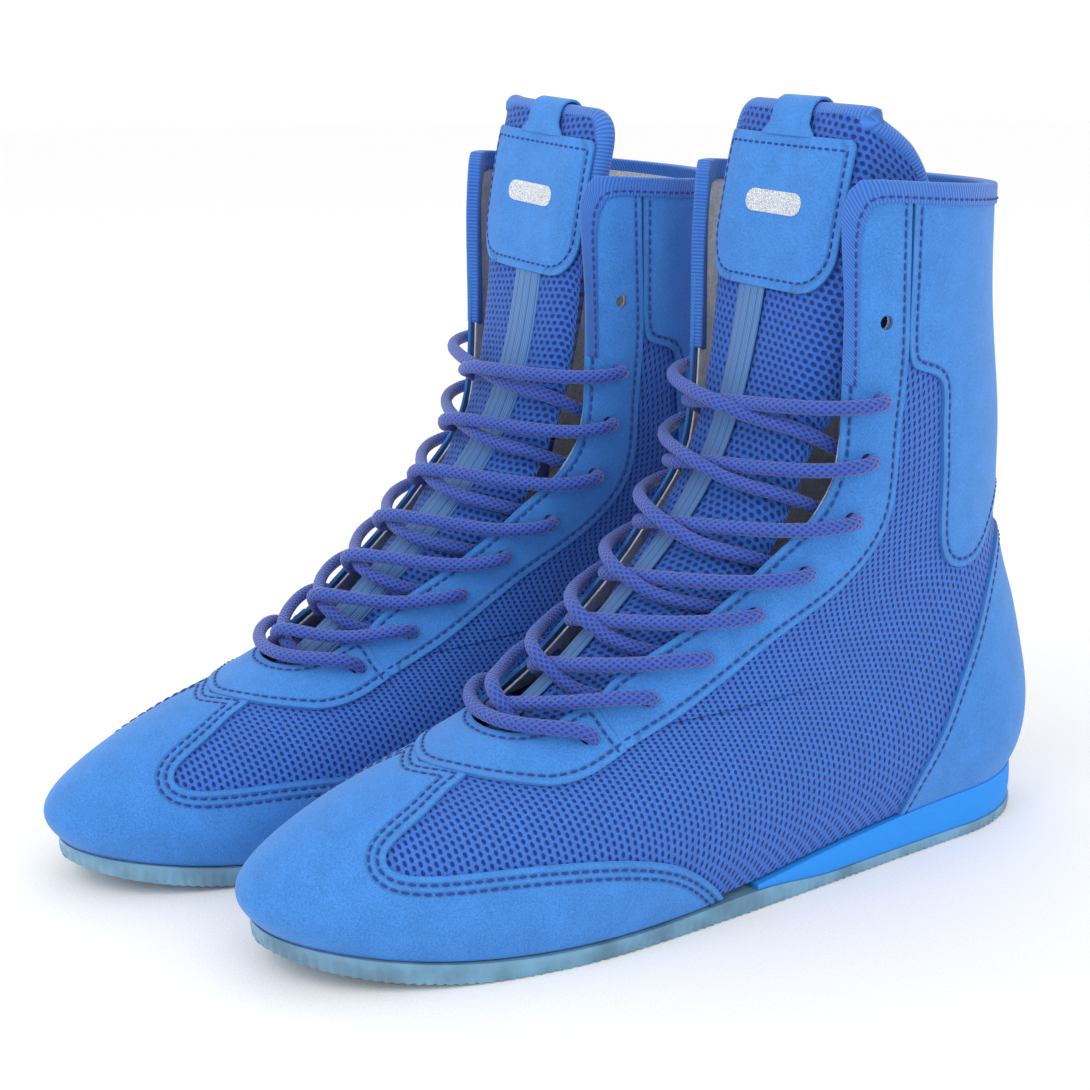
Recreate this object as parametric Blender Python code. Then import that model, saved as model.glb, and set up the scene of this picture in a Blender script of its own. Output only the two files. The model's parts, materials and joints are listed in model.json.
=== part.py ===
"""Pair of high lace-up boxing boots, modelled piece by piece.

Frame: metres, +Z up, toes towards -Y, the left boot on the +X side. The origin is the
centre of the pair's footprint, on the ground. Every panel of an upper is cut on the same
boot surface, worked out from the rings of the last, and lies in its own layer of it.
A place on the surface is (u, v): u runs from 0 at the front centre to 1 at the back centre
by the lateral side, and to -1 by the medial side; v runs from 0 at the sole to 1 at the collar.
"""
import math

import bmesh
import bpy
import numpy as np
from mathutils import Matrix, Vector

MM = 0.001

# Rings of the last, in mm, lowest first. Each ring is an oval leaning from its front point
# (front_y, front_z) to its back point (back_y, back_z).
RING_FIELDS = ("v", "front_y", "front_z", "back_y", "back_z", "half_lateral", "half_medial",
               "front_share", "front_power", "back_share", "back_power", "waist",
               "front_x", "back_x")
RINGS = (
    (0.00, -290, 15, 2.5, 17, 46, 43, .36, 2.0, .15, 2.1, .27, -4, 1),
    (0.07, -296, 25, 6.5, 27, 48, 46, .38, 2.0, .15, 2.1, .24, -4, 1),
    (0.16, -282, 38, 7.5, 43, 47, 45, .42, 2.0, .16, 2.1, .19, -4, 1),
    (0.27, -251, 51, 4.0, 62, 43, 41, .46, 2.0, .20, 2.1, .10, -3, 1),
    (0.40, -209, 66, -2.5, 83, 41, 39, .48, 2.1, .26, 2.1, .04, -2, 1),
    (0.52, -172, 94, -9.5, 101, 40, 38, .46, 2.3, .35, 2.1, .00, -1, 1),
    (0.63, -141, 124, -9.0, 122, 41, 41, .40, 2.7, .52, 1.9, .00, -1, 0),
    (0.75, -122, 158, -11, 150, 42, 42, .34, 3.0, .62, 1.9, .00, -2, 0),
    (0.87, -114, 197, -18, 187, 43, 43, .30, 3.4, .66, 1.9, .00, -2, 0),
    (1.00, -109, 233, -22, 228, 44, 44, .28, 3.8, .66, 1.9, .00, -2, 0),
    (1.12, -104, 268, -26, 264, 44, 44, .28, 3.8, .66, 1.9, .00, -2, 0),
)
# Height of the edge where the upper meets the sole, against y: toe spring, ball, arch, heel.
FEATHER_Y = (-300, -250, -200, -150, -110, -60, 10)
FEATHER_Z = (17, 8.5, 6, 7.5, 12, 16, 17.5)
FEATHER_FADE_V = 0.45

# The pair: where each boot stands, its turn about Z, and how its collar tips sideways.
LEFT_PLACE = (51.9, 159.3)
RIGHT_PLACE = (-55.4, 128.3)
RIGHT_TURN_DEG = 1.6
LEFT_COLLAR_TILT = -0.05
RIGHT_COLLAR_TILT = 0.08

# Layers, as distances in mm out of the boot surface.
OVERLAY = (0.6, 1.7)
FABRIC = (-0.8, 0.0)
STIFFENER = (-2.5, -1.5)
COLLAR_PAD = (-4.1, -1.5)
LINING_THICK = 0.7
LINING_FRONT = -1.3
LINING_BACK = -4.55
LINING_TOE = -2.75
BINDING = (-2.6, 2.1)

# Sole, in mm.
SOLE_PROUD = 2.6
OUTSOLE_HEEL = 4.0
TOE_LIFT_START_Y = -225
TOE_LIFT = 10.5
TOE_LIFT_LENGTH = 70
WEDGE_START_Y = -140
BOARD = (0.4, 1.9)
SOCK = (2.3, 5.3)

# Lacing.
LACE_RADIUS = 2.3
EYELET_RADIUS = 3.1
EYELETS = ((.217, .372), (.240, .428), (.272, .476), (.297, .526), (.330, .572),
           (.353, .635), (.331, .707), (.322, .773), (.310, .849))
LACED = 8
THROAT_EDGE_U = 0.140
TONGUE_HALF = 35.0
TONGUE_THICK = 6.0
TONGUE_LOW = -7.9
TONGUE_BOTTOM_V = 0.372
TONGUE_TOP_V = 1.066
WING = 45.0
WING_V = (0.70, 0.90)
WING_PER_U = 128.0
WING_DROP = 0.096
TAPED = 0.60
RIBBON_HALF = 7.2
RIBBON_LEAN = -5.0
TONGUE_CREST = ((.30, -3.6), (.385, -3.8), (.42, -4.0), (.52, -4.2), (.63, -5), (.75, -6),
                (.87, -7), (1.0, -9.5), (1.12, -13))

# Outlines on the surface, as (v, u) or (u, v) pairs.
FACING_OUTER = ((.338, .292), (.414, .321), (.48, .358), (.521, .400), (.557, .430),
                (.619, .441), (.729, .398), (.809, .386), (.862, .375), (1.0, .341))
FACING_INNER = ((.345, .287), (.359, .268), (.422, .170), (.455, .156), (.493, .186),
                (.526, .216), (.559, .234), (.597, .247), (.639, .268), (.682, .273),
                (.745, .245), (.779, .228), (.786, .286), (.918, .234), (1.0, .226))
MESH_FRONT = ((0, .004), (.370, .004), (.3755, .12), (.379, .235), (.428, .292), (.476, .322),
              (.526, .347), (.572, .380), (.635, .403), (.707, .381), (.773, .372), (.849, .360),
              (1.0, .330))
TOE_CAP_TOP = ((0, .312), (.118, .312), (.148, .245), (.153, .185), (.176, .157), (.212, .147),
               (.282, .149), (.346, .143), (.395, .128), (.442, .094), (.470, .044), (.478, .014))
EYESTAY_LOW = ((0, .318), (.086, .316), (.158, .304), (.233, .285), (.262, .279), (.289, .292),
               (.294, .330))
EYESTAY_HIGH = ((0, .381), (.084, .381), (.128, .389), (.150, .418), (.166, .418), (.266, .354),
                (.294, .334))
ANKLE_LOW = ((.351, .968), (.387, .862), (.398, .812), (.412, .805), (.465, .799), (.492, .787),
             (.503, .745), (.519, .707), (.555, .627), (.604, .555), (.648, .532), (.694, .541),
             (.771, .604), (.850, .625), (.995, .640))
COUNTER_TOP = ((.662, .020), (.667, .086), (.679, .147), (.692, .255), (.718, .432), (.757, .514),
               (.800, .548), (.900, .562), (1.0, .565))
BINDING_OUTER = ((.226, .787), (.154, .916), (.136, .964), (.163, .993), (.240, 1.0), (1.0, 1.0))
BINDING_INNER = ((.266, .785), (.217, .918), (.208, .958), (.222, .973), (.280, .977), (1.0, .977))
COLLAR_TOP_V = 0.968
SOLE_EDGE_V = 0.014
LINING_LOW_V = 0.395

# Every panel of the upper shares these lines, so that its layers stay parallel.
COLUMNS = [0, .06, .12, .19, .26, .33, .40, .48, .57, .66, .74, .81, .875, .94, 1]
ROWS = [.014, .05, .10, .16, .23, .31, .38, .43, .475, .52, .565, .61, .66, .72, .782, .84,
        .905, .968]
SLIVER = 0.005
MERGE = 0.00001
TAPE_STEPS = [0, .04, .08, .12, .15, .18, .20, .22, .25, .28, .31, .34, .37, .40, .43, .46, .48,
              .50, .52, .54, .57, .60, .63, .66, .69, .72, .75, .78, .80, .82, .85, .88, .92,
              .96, 1]

SUEDE = (0.055, 0.26, 0.72)
MESH_BLUE = (0.03, 0.12, 0.55)
LACE_BLUE = (0.02, 0.07, 0.50)
TAPE_BLUE = (0.035, 0.18, 0.60)
LINING_GREY = (0.60, 0.62, 0.66)


def smoothstep(value, low, high):
    """Ease from 0 at low to 1 at high."""
    share = np.clip((value - low) / (high - low), 0, 1)
    return share * share * (3 - 2 * share)


def natural_spline(knots, values):
    """Return the natural cubic spline through (knots, values) as a function."""
    knots = np.asarray(knots, float)
    values = np.asarray(values, float)
    count = len(knots)
    step = np.diff(knots)
    matrix = np.eye(count)
    right = np.zeros(values.shape)
    for i in range(1, count - 1):
        matrix[i, i - 1:i + 2] = step[i - 1], 2 * (step[i - 1] + step[i]), step[i]
        slopes = (values[i + 1] - values[i]) / step[i], (values[i] - values[i - 1]) / step[i - 1]
        right[i] = 6 * (slopes[0] - slopes[1])
    bend = np.linalg.solve(matrix, right)

    def evaluate(x):
        x = np.asarray(x, float)
        i = np.clip(np.searchsorted(knots, x) - 1, 0, count - 2)
        wide = (...,) + (None,) * (values.ndim - 1)
        gap = step[i][wide]
        after = (knots[i + 1] - x)[wide]
        before = (x - knots[i])[wide]
        cubic = (bend[i] * after ** 3 + bend[i + 1] * before ** 3) / (6 * gap)
        line_a = (values[i] / gap - bend[i] * gap / 6) * after
        line_b = (values[i + 1] / gap - bend[i + 1] * gap / 6) * before
        return cubic + line_a + line_b

    return evaluate


RING_AT = natural_spline([ring[0] for ring in RINGS], [ring[1:] for ring in RINGS])
FEATHER_AT = natural_spline(FEATHER_Y, FEATHER_Z)


def ring_values(v):
    """The ring's fields at height v, by name."""
    return dict(zip(RING_FIELDS[1:], np.moveaxis(RING_AT(v), -1, 0)))


class Boot:
    """One boot: its surface, where it stands, and its handedness."""

    def __init__(self, name, place, turn_deg, tilt, mirrored):
        self.name = name
        self.tilt = tilt
        self.mirrored = mirrored
        self.stand = bpy.data.objects.new(name + "_stand", None)
        self.stand.location = (place[0] * MM, place[1] * MM, 0)
        self.stand.rotation_euler = (0, 0, math.radians(turn_deg))
        bpy.context.collection.objects.link(self.stand)

    def surface(self, u, v):
        """Point on the boot surface in mm, in the left boot's own frame."""
        u, v = np.broadcast_arrays(np.asarray(u, float), np.asarray(v, float))
        u = np.where(u > 1, u - 2, u)
        ring = ring_values(v)
        along = (1 - np.cos(np.abs(u) * np.pi)) / 2
        y = ring["front_y"] + (ring["back_y"] - ring["front_y"]) * along
        ends = FEATHER_AT(ring["front_y"]) * (1 - along) + FEATHER_AT(ring["back_y"]) * along
        fade = np.clip(1 - v / FEATHER_FADE_V, 0, 1) ** 2
        z = ring["front_z"] + (ring["back_z"] - ring["front_z"]) * along
        z = z + fade * (FEATHER_AT(y) - ends)
        front = np.clip(1 - along / ring["front_share"], 0, 1)
        back = np.clip((along - 1 + ring["back_share"]) / ring["back_share"], 0, 1)
        width = (1 - front ** ring["front_power"]) ** (1 / ring["front_power"])
        width = width * (1 - back ** ring["back_power"]) ** (1 / ring["back_power"])
        width = width * (1 - ring["waist"] * smoothstep(along, 0.7 * ring["front_share"], 1))
        width = width * np.where(u >= 0, ring["half_lateral"], ring["half_medial"])
        centre = ring["front_x"] * (1 - along) ** 2 + ring["back_x"] * along
        x = centre + np.sign(u) * width
        z = z + self.tilt * x * smoothstep(v, 0.5, 1)
        return np.stack([x, y, z], -1)

    def normal(self, u, v):
        """Outward unit normal of the boot surface."""
        h = 0.002
        across = self.surface(u + h, v) - self.surface(np.asarray(u) - h, v)
        upward = self.surface(u, v + h) - self.surface(u, v - h)
        normal = np.cross(across, upward)
        return normal / np.linalg.norm(normal, axis=-1, keepdims=True)

    def layer(self, u, v, out):
        """Point at a distance out of the boot surface."""
        u = np.asarray(u, float)
        v = np.asarray(v, float)
        return self.surface(u, v) + self.normal(u, v) * np.asarray(out, float)[..., None]

    def u_at_x(self, x, v):
        """The u of the front of the ring where the surface stands at x."""
        ring = ring_values(v)
        side = np.where(x >= 0, ring["half_lateral"], ring["half_medial"])
        share = np.clip(np.abs(x) / side, 0, 0.999)
        along = (1 - share ** ring["front_power"]) ** (1 / ring["front_power"])
        along = ring["front_share"] * (1 - along)
        return np.sign(x) * np.arccos(1 - 2 * along) / np.pi

    def own(self, points):
        """Left-boot points in mm, turned into this boot's own metres."""
        points = np.asarray(points, float) * MM
        if self.mirrored:
            points = points * (-1, 1, 1)
        return points


def material(name, colour, roughness, metallic=0.0):
    """A Principled material, made once for each name."""
    made = bpy.data.materials.get(name)
    if made is None:
        made = bpy.data.materials.new(name)
        made.use_nodes = True
        shader = made.node_tree.nodes["Principled BSDF"]
        shader.inputs["Base Color"].default_value = (*colour, 1)
        shader.inputs["Roughness"].default_value = roughness
        shader.inputs["Metallic"].default_value = metallic
    return made


def add_piece(boot, name, bm, finish):
    """Turn a bmesh into the boot's named object."""
    bmesh.ops.recalc_face_normals(bm, faces=bm.faces)
    if bm.calc_volume(signed=True) < 0:
        bmesh.ops.reverse_faces(bm, faces=bm.faces)
    mesh = bpy.data.meshes.new(f"{boot.name}_{name}")
    bm.to_mesh(mesh)
    bm.free()
    piece = bpy.data.objects.new(f"{boot.name}_{name}", mesh)
    bpy.context.collection.objects.link(piece)
    piece.parent = boot.stand
    mesh.materials.append(material(*finish))
    mesh.shade_smooth()
    mesh.set_sharp_from_angle(angle=math.radians(40))
    return piece


def slab(boot, name, columns, rows, place, finish):
    """A closed slab: place(s, t, outer) gives its outer and its inner face.

    s takes the values in columns across the grid, and t the values in rows up the grid.
    """
    bm = bmesh.new()
    s_layer = bm.verts.layers.float.new("s")
    t_layer = bm.verts.layers.float.new("t")
    spans = len(columns) - 1, len(rows) - 1
    bmesh.ops.create_grid(bm, x_segments=spans[0], y_segments=spans[1], size=0.5)
    for vert in bm.verts:
        vert[s_layer] = columns[round((vert.co.x + 0.5) * spans[0])]
        vert[t_layer] = rows[round((vert.co.y + 0.5) * spans[1])]
    extruded = bmesh.ops.extrude_face_region(bm, geom=bm.faces[:], use_keep_orig=True)
    inner = {item for item in extruded["geom"] if isinstance(item, bmesh.types.BMVert)}
    verts = list(bm.verts)
    s = np.array([vert[s_layer] for vert in verts])
    t = np.array([vert[t_layer] for vert in verts])
    outer = np.array([vert not in inner for vert in verts])
    points = boot.own(place(s, t, outer))
    for vert, point in zip(verts, points):
        vert.co = point
    bmesh.ops.remove_doubles(bm, verts=bm.verts, dist=MERGE)
    return add_piece(boot, name, bm, finish)


def even(count):
    """Evenly spaced values from 0 to 1."""
    return [i / count for i in range(count + 1)]


def trim(value, low, high):
    """Hold a lattice value inside an outline, without slivers along it."""
    value = np.where(value < low + SLIVER, low, value)
    return np.where(value > high - SLIVER, high, value)


def at(outline, value):
    """Read an outline given as pairs."""
    return np.interp(value, [pair[0] for pair in outline], [pair[1] for pair in outline])


def fold(u):
    """The lateral u that mirrors a u on the medial side or past the back."""
    u = np.abs(u)
    return np.where(u > 1, 2 - u, u)


def within(values, low, high, gap=0.002):
    """The lattice values between two limits, with the limits themselves."""
    return [low] + sorted(v for v in values if low + gap < v < high - gap) + [high]


def row_panel(boot, name, low, high, left, right, depth, finish, side=1, stops=()):
    """A panel whose rows run from u = left(v) to right(v), for v from low to high."""
    def place(s, t, outer):
        u = trim(s, left(t), right(t))
        near, far = depth(u, t)
        return boot.layer(side * u, t, np.where(outer, far, near))
    return slab(boot, name, COLUMNS, within(ROWS + list(stops), low, high), place, finish)


def column_panel(boot, name, start, end, low, high, depth, finish, side=1, stops=()):
    """A panel whose columns run from v = low(u) to high(u), for u from start to end."""
    folded = set(COLUMNS) | set(stops)
    lattice = folded | {-u for u in folded} | {2 - u for u in folded}

    def place(s, t, outer):
        v = trim(t, low(fold(s)), high(fold(s)))
        near, far = depth(s, v)
        return boot.layer(side * s, v, np.where(outer, far, near))
    return slab(boot, name, within(lattice, start, end), ROWS, place, finish)


def flat_depth(layer):
    """Depth function of a layer that is the same everywhere."""
    return lambda u, v: (np.full(u.shape, layer[0]), np.full(u.shape, layer[1]))


def lining_depth(u, v):
    """The lining hugs the facings, and sinks behind the toe puff, the padding and the heel."""
    u = np.abs(u)
    sink = smoothstep(u, 0.42, 0.52) * (LINING_BACK - LINING_FRONT)
    toe = (1 - smoothstep(v, 0.2, 0.27)) * (1 - smoothstep(u, 0.34, 0.42))
    face = LINING_FRONT + sink + toe * (LINING_TOE - LINING_FRONT)
    return face - LINING_THICK, face


def plank(boot, name, u_start, proud, bottom, top, size, finish):
    """A sole layer: rows across the boot from u_start to the heel, bottom(y) to top(y)."""
    def place(s, t, outer):
        u = u_start + (0.965 - u_start) * t
        h = 0.002
        edges = []
        for side in (-1, 1):
            edge = boot.surface(side * u, 0 * u)
            run = boot.surface(side * (u + h), 0 * u) - boot.surface(side * (u - h), 0 * u)
            away = np.stack([side * run[:, 1], -side * run[:, 0], 0 * u], -1)
            edges.append(edge + proud * away / np.linalg.norm(away, axis=-1, keepdims=True))
        points = edges[0] + (edges[1] - edges[0]) * s[:, None]
        height = np.where(outer, top(points[:, 1]), bottom(points[:, 1]))
        return np.stack([points[:, 0], points[:, 1], height], -1)
    return slab(boot, name, even(size[0]), even(size[1]), place, finish)


def u_at_y(boot, y):
    """The u on the sole edge at a given y."""
    ring = ring_values(0.0)
    along = (y - ring["front_y"]) / (ring["back_y"] - ring["front_y"])
    return float(np.arccos(1 - 2 * along) / np.pi)


def outsole_bottom(y):
    """Flat from the ball to the heel, rising under the toe."""
    lift = np.clip((TOE_LIFT_START_Y - y) / TOE_LIFT_LENGTH, 0, 2)
    return TOE_LIFT * lift ** 2


def outsole_top(y):
    """Up to the upper in front, thinner under the wedge."""
    front = FEATHER_AT(y) - 0.6
    return front + (OUTSOLE_HEEL - front) * smoothstep(y, -160, -105)


def build_sole(boot):
    """Outsole, wedge, lasting board and sock liner."""
    rubber = ("sole_rubber", (0.10, 0.27, 0.42), 0.35)
    foam = ("wedge_foam", (0.01, 0.26, 0.85), 0.5)
    plank(boot, "outsole", 0.045, SOLE_PROUD, outsole_bottom, outsole_top, (4, 20), rubber)
    plank(boot, "midsole_wedge", u_at_y(boot, WEDGE_START_Y), SOLE_PROUD - 0.6,
          lambda y: outsole_top(y) + 0.4, lambda y: FEATHER_AT(y) - 0.6, (2, 12), foam)
    plank(boot, "lasting_board", 0.06, -4.4, lambda y: FEATHER_AT(y) + BOARD[0],
          lambda y: FEATHER_AT(y) + BOARD[1], (2, 14), ("board", (0.55, 0.45, 0.33), 0.8))
    plank(boot, "sock_liner", 0.06, -4.4, lambda y: FEATHER_AT(y) + SOCK[0],
          lambda y: FEATHER_AT(y) + SOCK[1], (2, 14), ("sock_foam", (0.05, 0.08, 0.2), 0.9))


def build_half(boot, side, word):
    """The panels of one side: mesh, facing, ankle panel and lining."""
    mesh = ("upper_mesh", MESH_BLUE, 0.75)
    suede = ("upper_suede", SUEDE, 0.85)
    lining = ("lining_felt", LINING_GREY, 0.95)
    row_panel(boot, "mesh_" + word, SOLE_EDGE_V, COLLAR_TOP_V, lambda v: at(MESH_FRONT, v),
              lambda v: 0.996 + 0 * v, flat_depth(FABRIC), mesh, side, (.370, .3755))
    row_panel(boot, "facing_" + word, 0.347, COLLAR_TOP_V, lambda v: at(FACING_INNER, v),
              lambda v: at(FACING_OUTER, v), flat_depth(OVERLAY), suede, side,
              (.363, .400, .415, .789))
    column_panel(boot, "ankle_panel_" + word, 0.360, 0.995, lambda u: at(ANKLE_LOW, u),
                 lambda u: COLLAR_TOP_V + 0 * u, flat_depth(OVERLAY), suede, side,
                 (.39, .412, .465, .495, .515, .604))
    row_panel(boot, "lining_" + word, LINING_LOW_V, COLLAR_TOP_V,
              lambda v: opening_edge(v),
              lambda v: 0.996 + 0 * v, lining_depth, lining, side, (.415, .789))


def build_overlays(boot):
    """Pieces that cross the centre: toe cap, throat, heel, padding and collar binding."""
    suede = ("upper_suede", SUEDE, 0.85)
    stiff = ("stiffener_board", (0.75, 0.74, 0.70), 0.7)
    column_panel(boot, "toe_cap", -0.478, 0.478, lambda u: SOLE_EDGE_V - 0.008 + 0 * u,
                 lambda u: at(TOE_CAP_TOP, u), flat_depth(OVERLAY), suede,
                 stops=[pair[0] for pair in TOE_CAP_TOP[1:-1]])
    column_panel(boot, "throat_eyestay", -0.290, 0.290, lambda u: at(EYESTAY_LOW, u) + 0.004,
                 lambda u: at(EYESTAY_HIGH, u) - 0.004, flat_depth(OVERLAY), suede,
                 stops=(.13, .165))
    column_panel(boot, "toe_puff", -0.30, 0.30, lambda u: 0.03 + 0 * u,
                 lambda u: 0.19 - 0.25 * u * u, flat_depth(STIFFENER), stiff)
    column_panel(boot, "heel_counter", 0.662, 1.338, lambda u: SOLE_EDGE_V + 0 * u,
                 lambda u: at(COUNTER_TOP, u), flat_depth(OVERLAY), suede,
                 stops=(.669, .680, .692, .718, .757))
    column_panel(boot, "heel_stiffener", 0.61, 1.39, lambda u: 0.06 + 0 * u,
                 lambda u: 0.46 - 1.2 * (1 - u) ** 2, flat_depth(STIFFENER), stiff)
    column_panel(boot, "collar_padding", 0.56, 1.44, lambda u: 0.585 + 0 * u,
                 lambda u: 0.955 + 0 * u, flat_depth(COLLAR_PAD),
                 ("collar_foam", (0.85, 0.83, 0.75), 0.9))
    build_binding(boot)


def build_binding(boot):
    """The tape round the collar, from one facing's front edge to the other's."""
    outer_u = [pair[0] for pair in BINDING_OUTER]
    outer_v = [pair[1] for pair in BINDING_OUTER]
    inner_u = [pair[0] for pair in BINDING_INNER]
    inner_v = [pair[1] for pair in BINDING_INNER]
    stops = (0, 0.13, 0.18, 0.21, 0.25, 0.5)

    def place(s, t, outer):
        half = np.minimum(t, 1 - t)
        side = np.where(t <= 0.5, 1, -1)
        u = np.interp(half, stops, outer_u) * (1 - s) + np.interp(half, stops, inner_u) * s
        v = np.interp(half, stops, outer_v) * (1 - s) + np.interp(half, stops, inner_v) * s
        return boot.layer(side * u, v, np.where(outer, BINDING[1], BINDING[0]))

    slab(boot, "collar_binding", even(1), TAPE_STEPS, place, ("binding_tape", TAPE_BLUE, 0.7))


def tongue_depth(x, v):
    """How far the tongue's face lies under the boot surface."""
    crest = at(TONGUE_CREST, v)
    edge = np.minimum(crest, TONGUE_LOW)
    return crest + (edge - crest) * smoothstep(np.abs(x), 4, 15)


def tongue_top(s):
    """Height of the tongue's top edge across it: it curves down over the lateral wing."""
    over = np.clip((s * (2 * TONGUE_HALF + WING) - TONGUE_HALF - 25) / (WING + 10), 0, 1)
    return TONGUE_TOP_V - WING_DROP * (1 - np.sqrt(1 - over ** 2.5))


def tongue_point(boot, s, v, out):
    """A point of the tongue, s across it from the medial edge to the tip of the wing."""
    wing = WING * smoothstep(v, *WING_V)
    girth = s * (2 * TONGUE_HALF + wing) - TONGUE_HALF
    x = np.minimum(girth, TONGUE_HALF)
    u = boot.u_at_x(x, v) + (girth - x) / WING_PER_U
    return boot.layer(u, v, tongue_depth(x, v) + out)


def tongue_slab(boot, name, low, high, half, depth, size, finish, lean=0.0):
    """A piece on the middle of the tongue, half wide each way, from v = low to high."""
    def place(s, t, outer):
        v = low + (high - low) * t
        x = (2 * s - 1) * half + lean
        out = tongue_depth(x, v) + np.where(outer, depth[1], depth[0])
        return boot.layer(boot.u_at_x(x, v), v, out)
    return slab(boot, name, even(size[0]), even(size[1]), place, finish)


def build_tongue(boot):
    """Padded tongue, its top patch, centre ribbon and top binding."""
    mesh = ("tongue_mesh", MESH_BLUE, 0.75)
    tape = ("binding_tape", TAPE_BLUE, 0.7)

    def base(s, t, outer):
        v = TONGUE_BOTTOM_V + (tongue_top(s) - TONGUE_BOTTOM_V) * t
        return tongue_point(boot, s, v, np.where(outer, 0, -TONGUE_THICK))

    def edge(s, t, outer):
        s = s * TAPED
        v = tongue_top(s) + 0.005 + 0.013 * t
        return tongue_point(boot, s, v, np.where(outer, 1.2, -TONGUE_THICK))

    slab(boot, "tongue_base", even(12), even(17), base, mesh)
    slab(boot, "tongue_binding", even(8), even(1), edge, tape)
    tongue_slab(boot, "tongue_patch", 0.862, 1.050, TONGUE_HALF - 1, (0.4, 1.5), (8, 6),
                ("upper_suede", SUEDE, 0.85))
    tongue_slab(boot, "tongue_ribbon", 0.412, 0.857, RIBBON_HALF, (0.7, 1.5), (2, 14),
                ("ribbon", (0.10, 0.22, 0.45), 0.7), RIBBON_LEAN)


def opening_edge(v):
    """The u of the edge that the lace comes out from under."""
    return np.where(v < 0.422, THROAT_EDGE_U, at(FACING_INNER, v))


def lace_route(boot):
    """The lace's own points in mm: two mirrored halves that meet at the bottom bar."""
    def crossing(side, level):
        """From the eyelet at this level on this side up to the next one on the other side."""
        u, v = EYELETS[level]
        next_u, next_v = EYELETS[level + 1]
        rise = next_v - v
        edge = opening_edge(v + 0.42 * rise)
        far_edge = opening_edge(v + 0.86 * rise)
        over = side > 0
        middle = 8.0 if over else 2.8
        edge_x = boot.surface(edge, v + 0.42 * rise)[0] - 4.5
        far_x = boot.surface(far_edge, v + 0.86 * rise)[0]
        mids = [(side * edge_x, v + 0.42 * rise, -3.7), (side * edge_x * 0.5, v + 0.53 * rise, 0.6),
                (0.0, v + 0.64 * rise, middle),
                (-side * far_x, v + 0.86 * rise, 5.0)]
        places = [(side * u, v, -4.7)]
        for x, mid_v, out in mids:
            places.append((float(boot.u_at_x(x, mid_v)), mid_v, out))
        return places + [(-side * next_u, next_v, 4.6)]

    def half(side):
        """One half of the lace, from its first eyelet to its tucked end."""
        points = [(side * EYELETS[0][0], EYELETS[0][1], 4.6)]
        for level in range(LACED - 1):
            points += crossing(side, level)
            side = -side
        u, v = EYELETS[LACED - 1]
        points += [(side * u, v, -4.7), (side * 0.40, v - 0.015, -8.2), (side * 0.47, v - 0.06, -9.8),
                   (side * 0.50, v - 0.11, -10.2), (side * 0.51, v - 0.15, -10.2)]
        return points

    bar = [(-0.10, 0.384, 5.2), (0.10, 0.384, 5.2)]
    route = half(-1)[::-1] + bar + half(1)
    return [boot.layer(*place) for place in route]


def build_lace(boot):
    """The lace as one tube, and the aglets on its two ends."""
    route = boot.own(lace_route(boot))
    curve = bpy.data.curves.new(boot.name + "_lace", "CURVE")
    curve.dimensions = "3D"
    curve.bevel_depth = LACE_RADIUS * MM
    curve.bevel_resolution = 2
    curve.use_fill_caps = True
    curve.twist_mode = "MINIMUM"
    spline = curve.splines.new("POLY")
    spline.points.add(len(route) - 1)
    for point, place in zip(spline.points, route):
        point.co = (*place, 1)
    lace = bpy.data.objects.new(boot.name + "_lace", curve)
    bpy.context.collection.objects.link(lace)
    lace.parent = boot.stand
    curve.materials.append(material("lace_cord", LACE_BLUE, 0.6))
    for word, end, before in (("a", route[0], route[1]), ("b", route[-1], route[-2])):
        axis = Vector(end - before).normalized()
        length = 18 * MM
        middle = Vector(end) + axis * (length / 2 + 0.4 * MM)
        turn = axis.to_track_quat("Z", "Y").to_matrix().to_4x4()
        bm = bmesh.new()
        bmesh.ops.create_cone(bm, cap_ends=True, segments=10, radius1=2.0 * MM, radius2=1.7 * MM,
                              depth=length, matrix=Matrix.Translation(middle) @ turn)
        add_piece(boot, "aglet_" + word, bm, ("aglet_film", (0.05, 0.12, 0.5), 0.25))


def punch_eyelets(boot):
    """Cut the lace holes through every layer they pass."""
    cutters = {}
    for side, word in ((1, "lateral"), (-1, "medial")):
        bm = bmesh.new()
        for u, v in EYELETS:
            middle = Vector(boot.own(boot.layer(side * u, v, 0.0)))
            axis = Vector(boot.own(boot.normal(side * u, v) / MM))
            turn = axis.to_track_quat("Z", "Y").to_matrix().to_4x4()
            bmesh.ops.create_cone(bm, cap_ends=True, segments=8, radius1=EYELET_RADIUS * MM,
                                  radius2=EYELET_RADIUS * MM, depth=9 * MM,
                                  matrix=Matrix.Translation(middle) @ turn)
        cutter = add_piece(boot, "punch_" + word, bm, ("punch", (0.5, 0.5, 0.5), 0.5))
        cutter.hide_render = True
        cutter.display_type = "WIRE"
        cutters[word] = cutter
    for word, cutter in cutters.items():
        for layer in ("facing_", "lining_", "mesh_"):
            add_cut(bpy.data.objects[f"{boot.name}_{layer}{word}"], cutter)
        add_cut(bpy.data.objects[boot.name + "_throat_eyestay"], cutter)


def add_cut(piece, cutter):
    """Subtract the cutter from the piece."""
    cut = piece.modifiers.new(cutter.name, "BOOLEAN")
    cut.operation = "DIFFERENCE"
    cut.solver = "EXACT"
    cut.object = cutter


def build_boot(name, place, turn_deg, tilt, mirrored):
    """One whole boot."""
    boot = Boot(name, place, turn_deg, tilt, mirrored)
    build_sole(boot)
    build_half(boot, 1, "lateral")
    build_half(boot, -1, "medial")
    build_overlays(boot)
    build_tongue(boot)
    build_lace(boot)
    punch_eyelets(boot)


for leftover in list(bpy.data.objects):
    bpy.data.objects.remove(leftover, do_unlink=True)
build_boot("left", LEFT_PLACE, 0, LEFT_COLLAR_TILT, False)
build_boot("right", RIGHT_PLACE, RIGHT_TURN_DEG, RIGHT_COLLAR_TILT, True)
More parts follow.
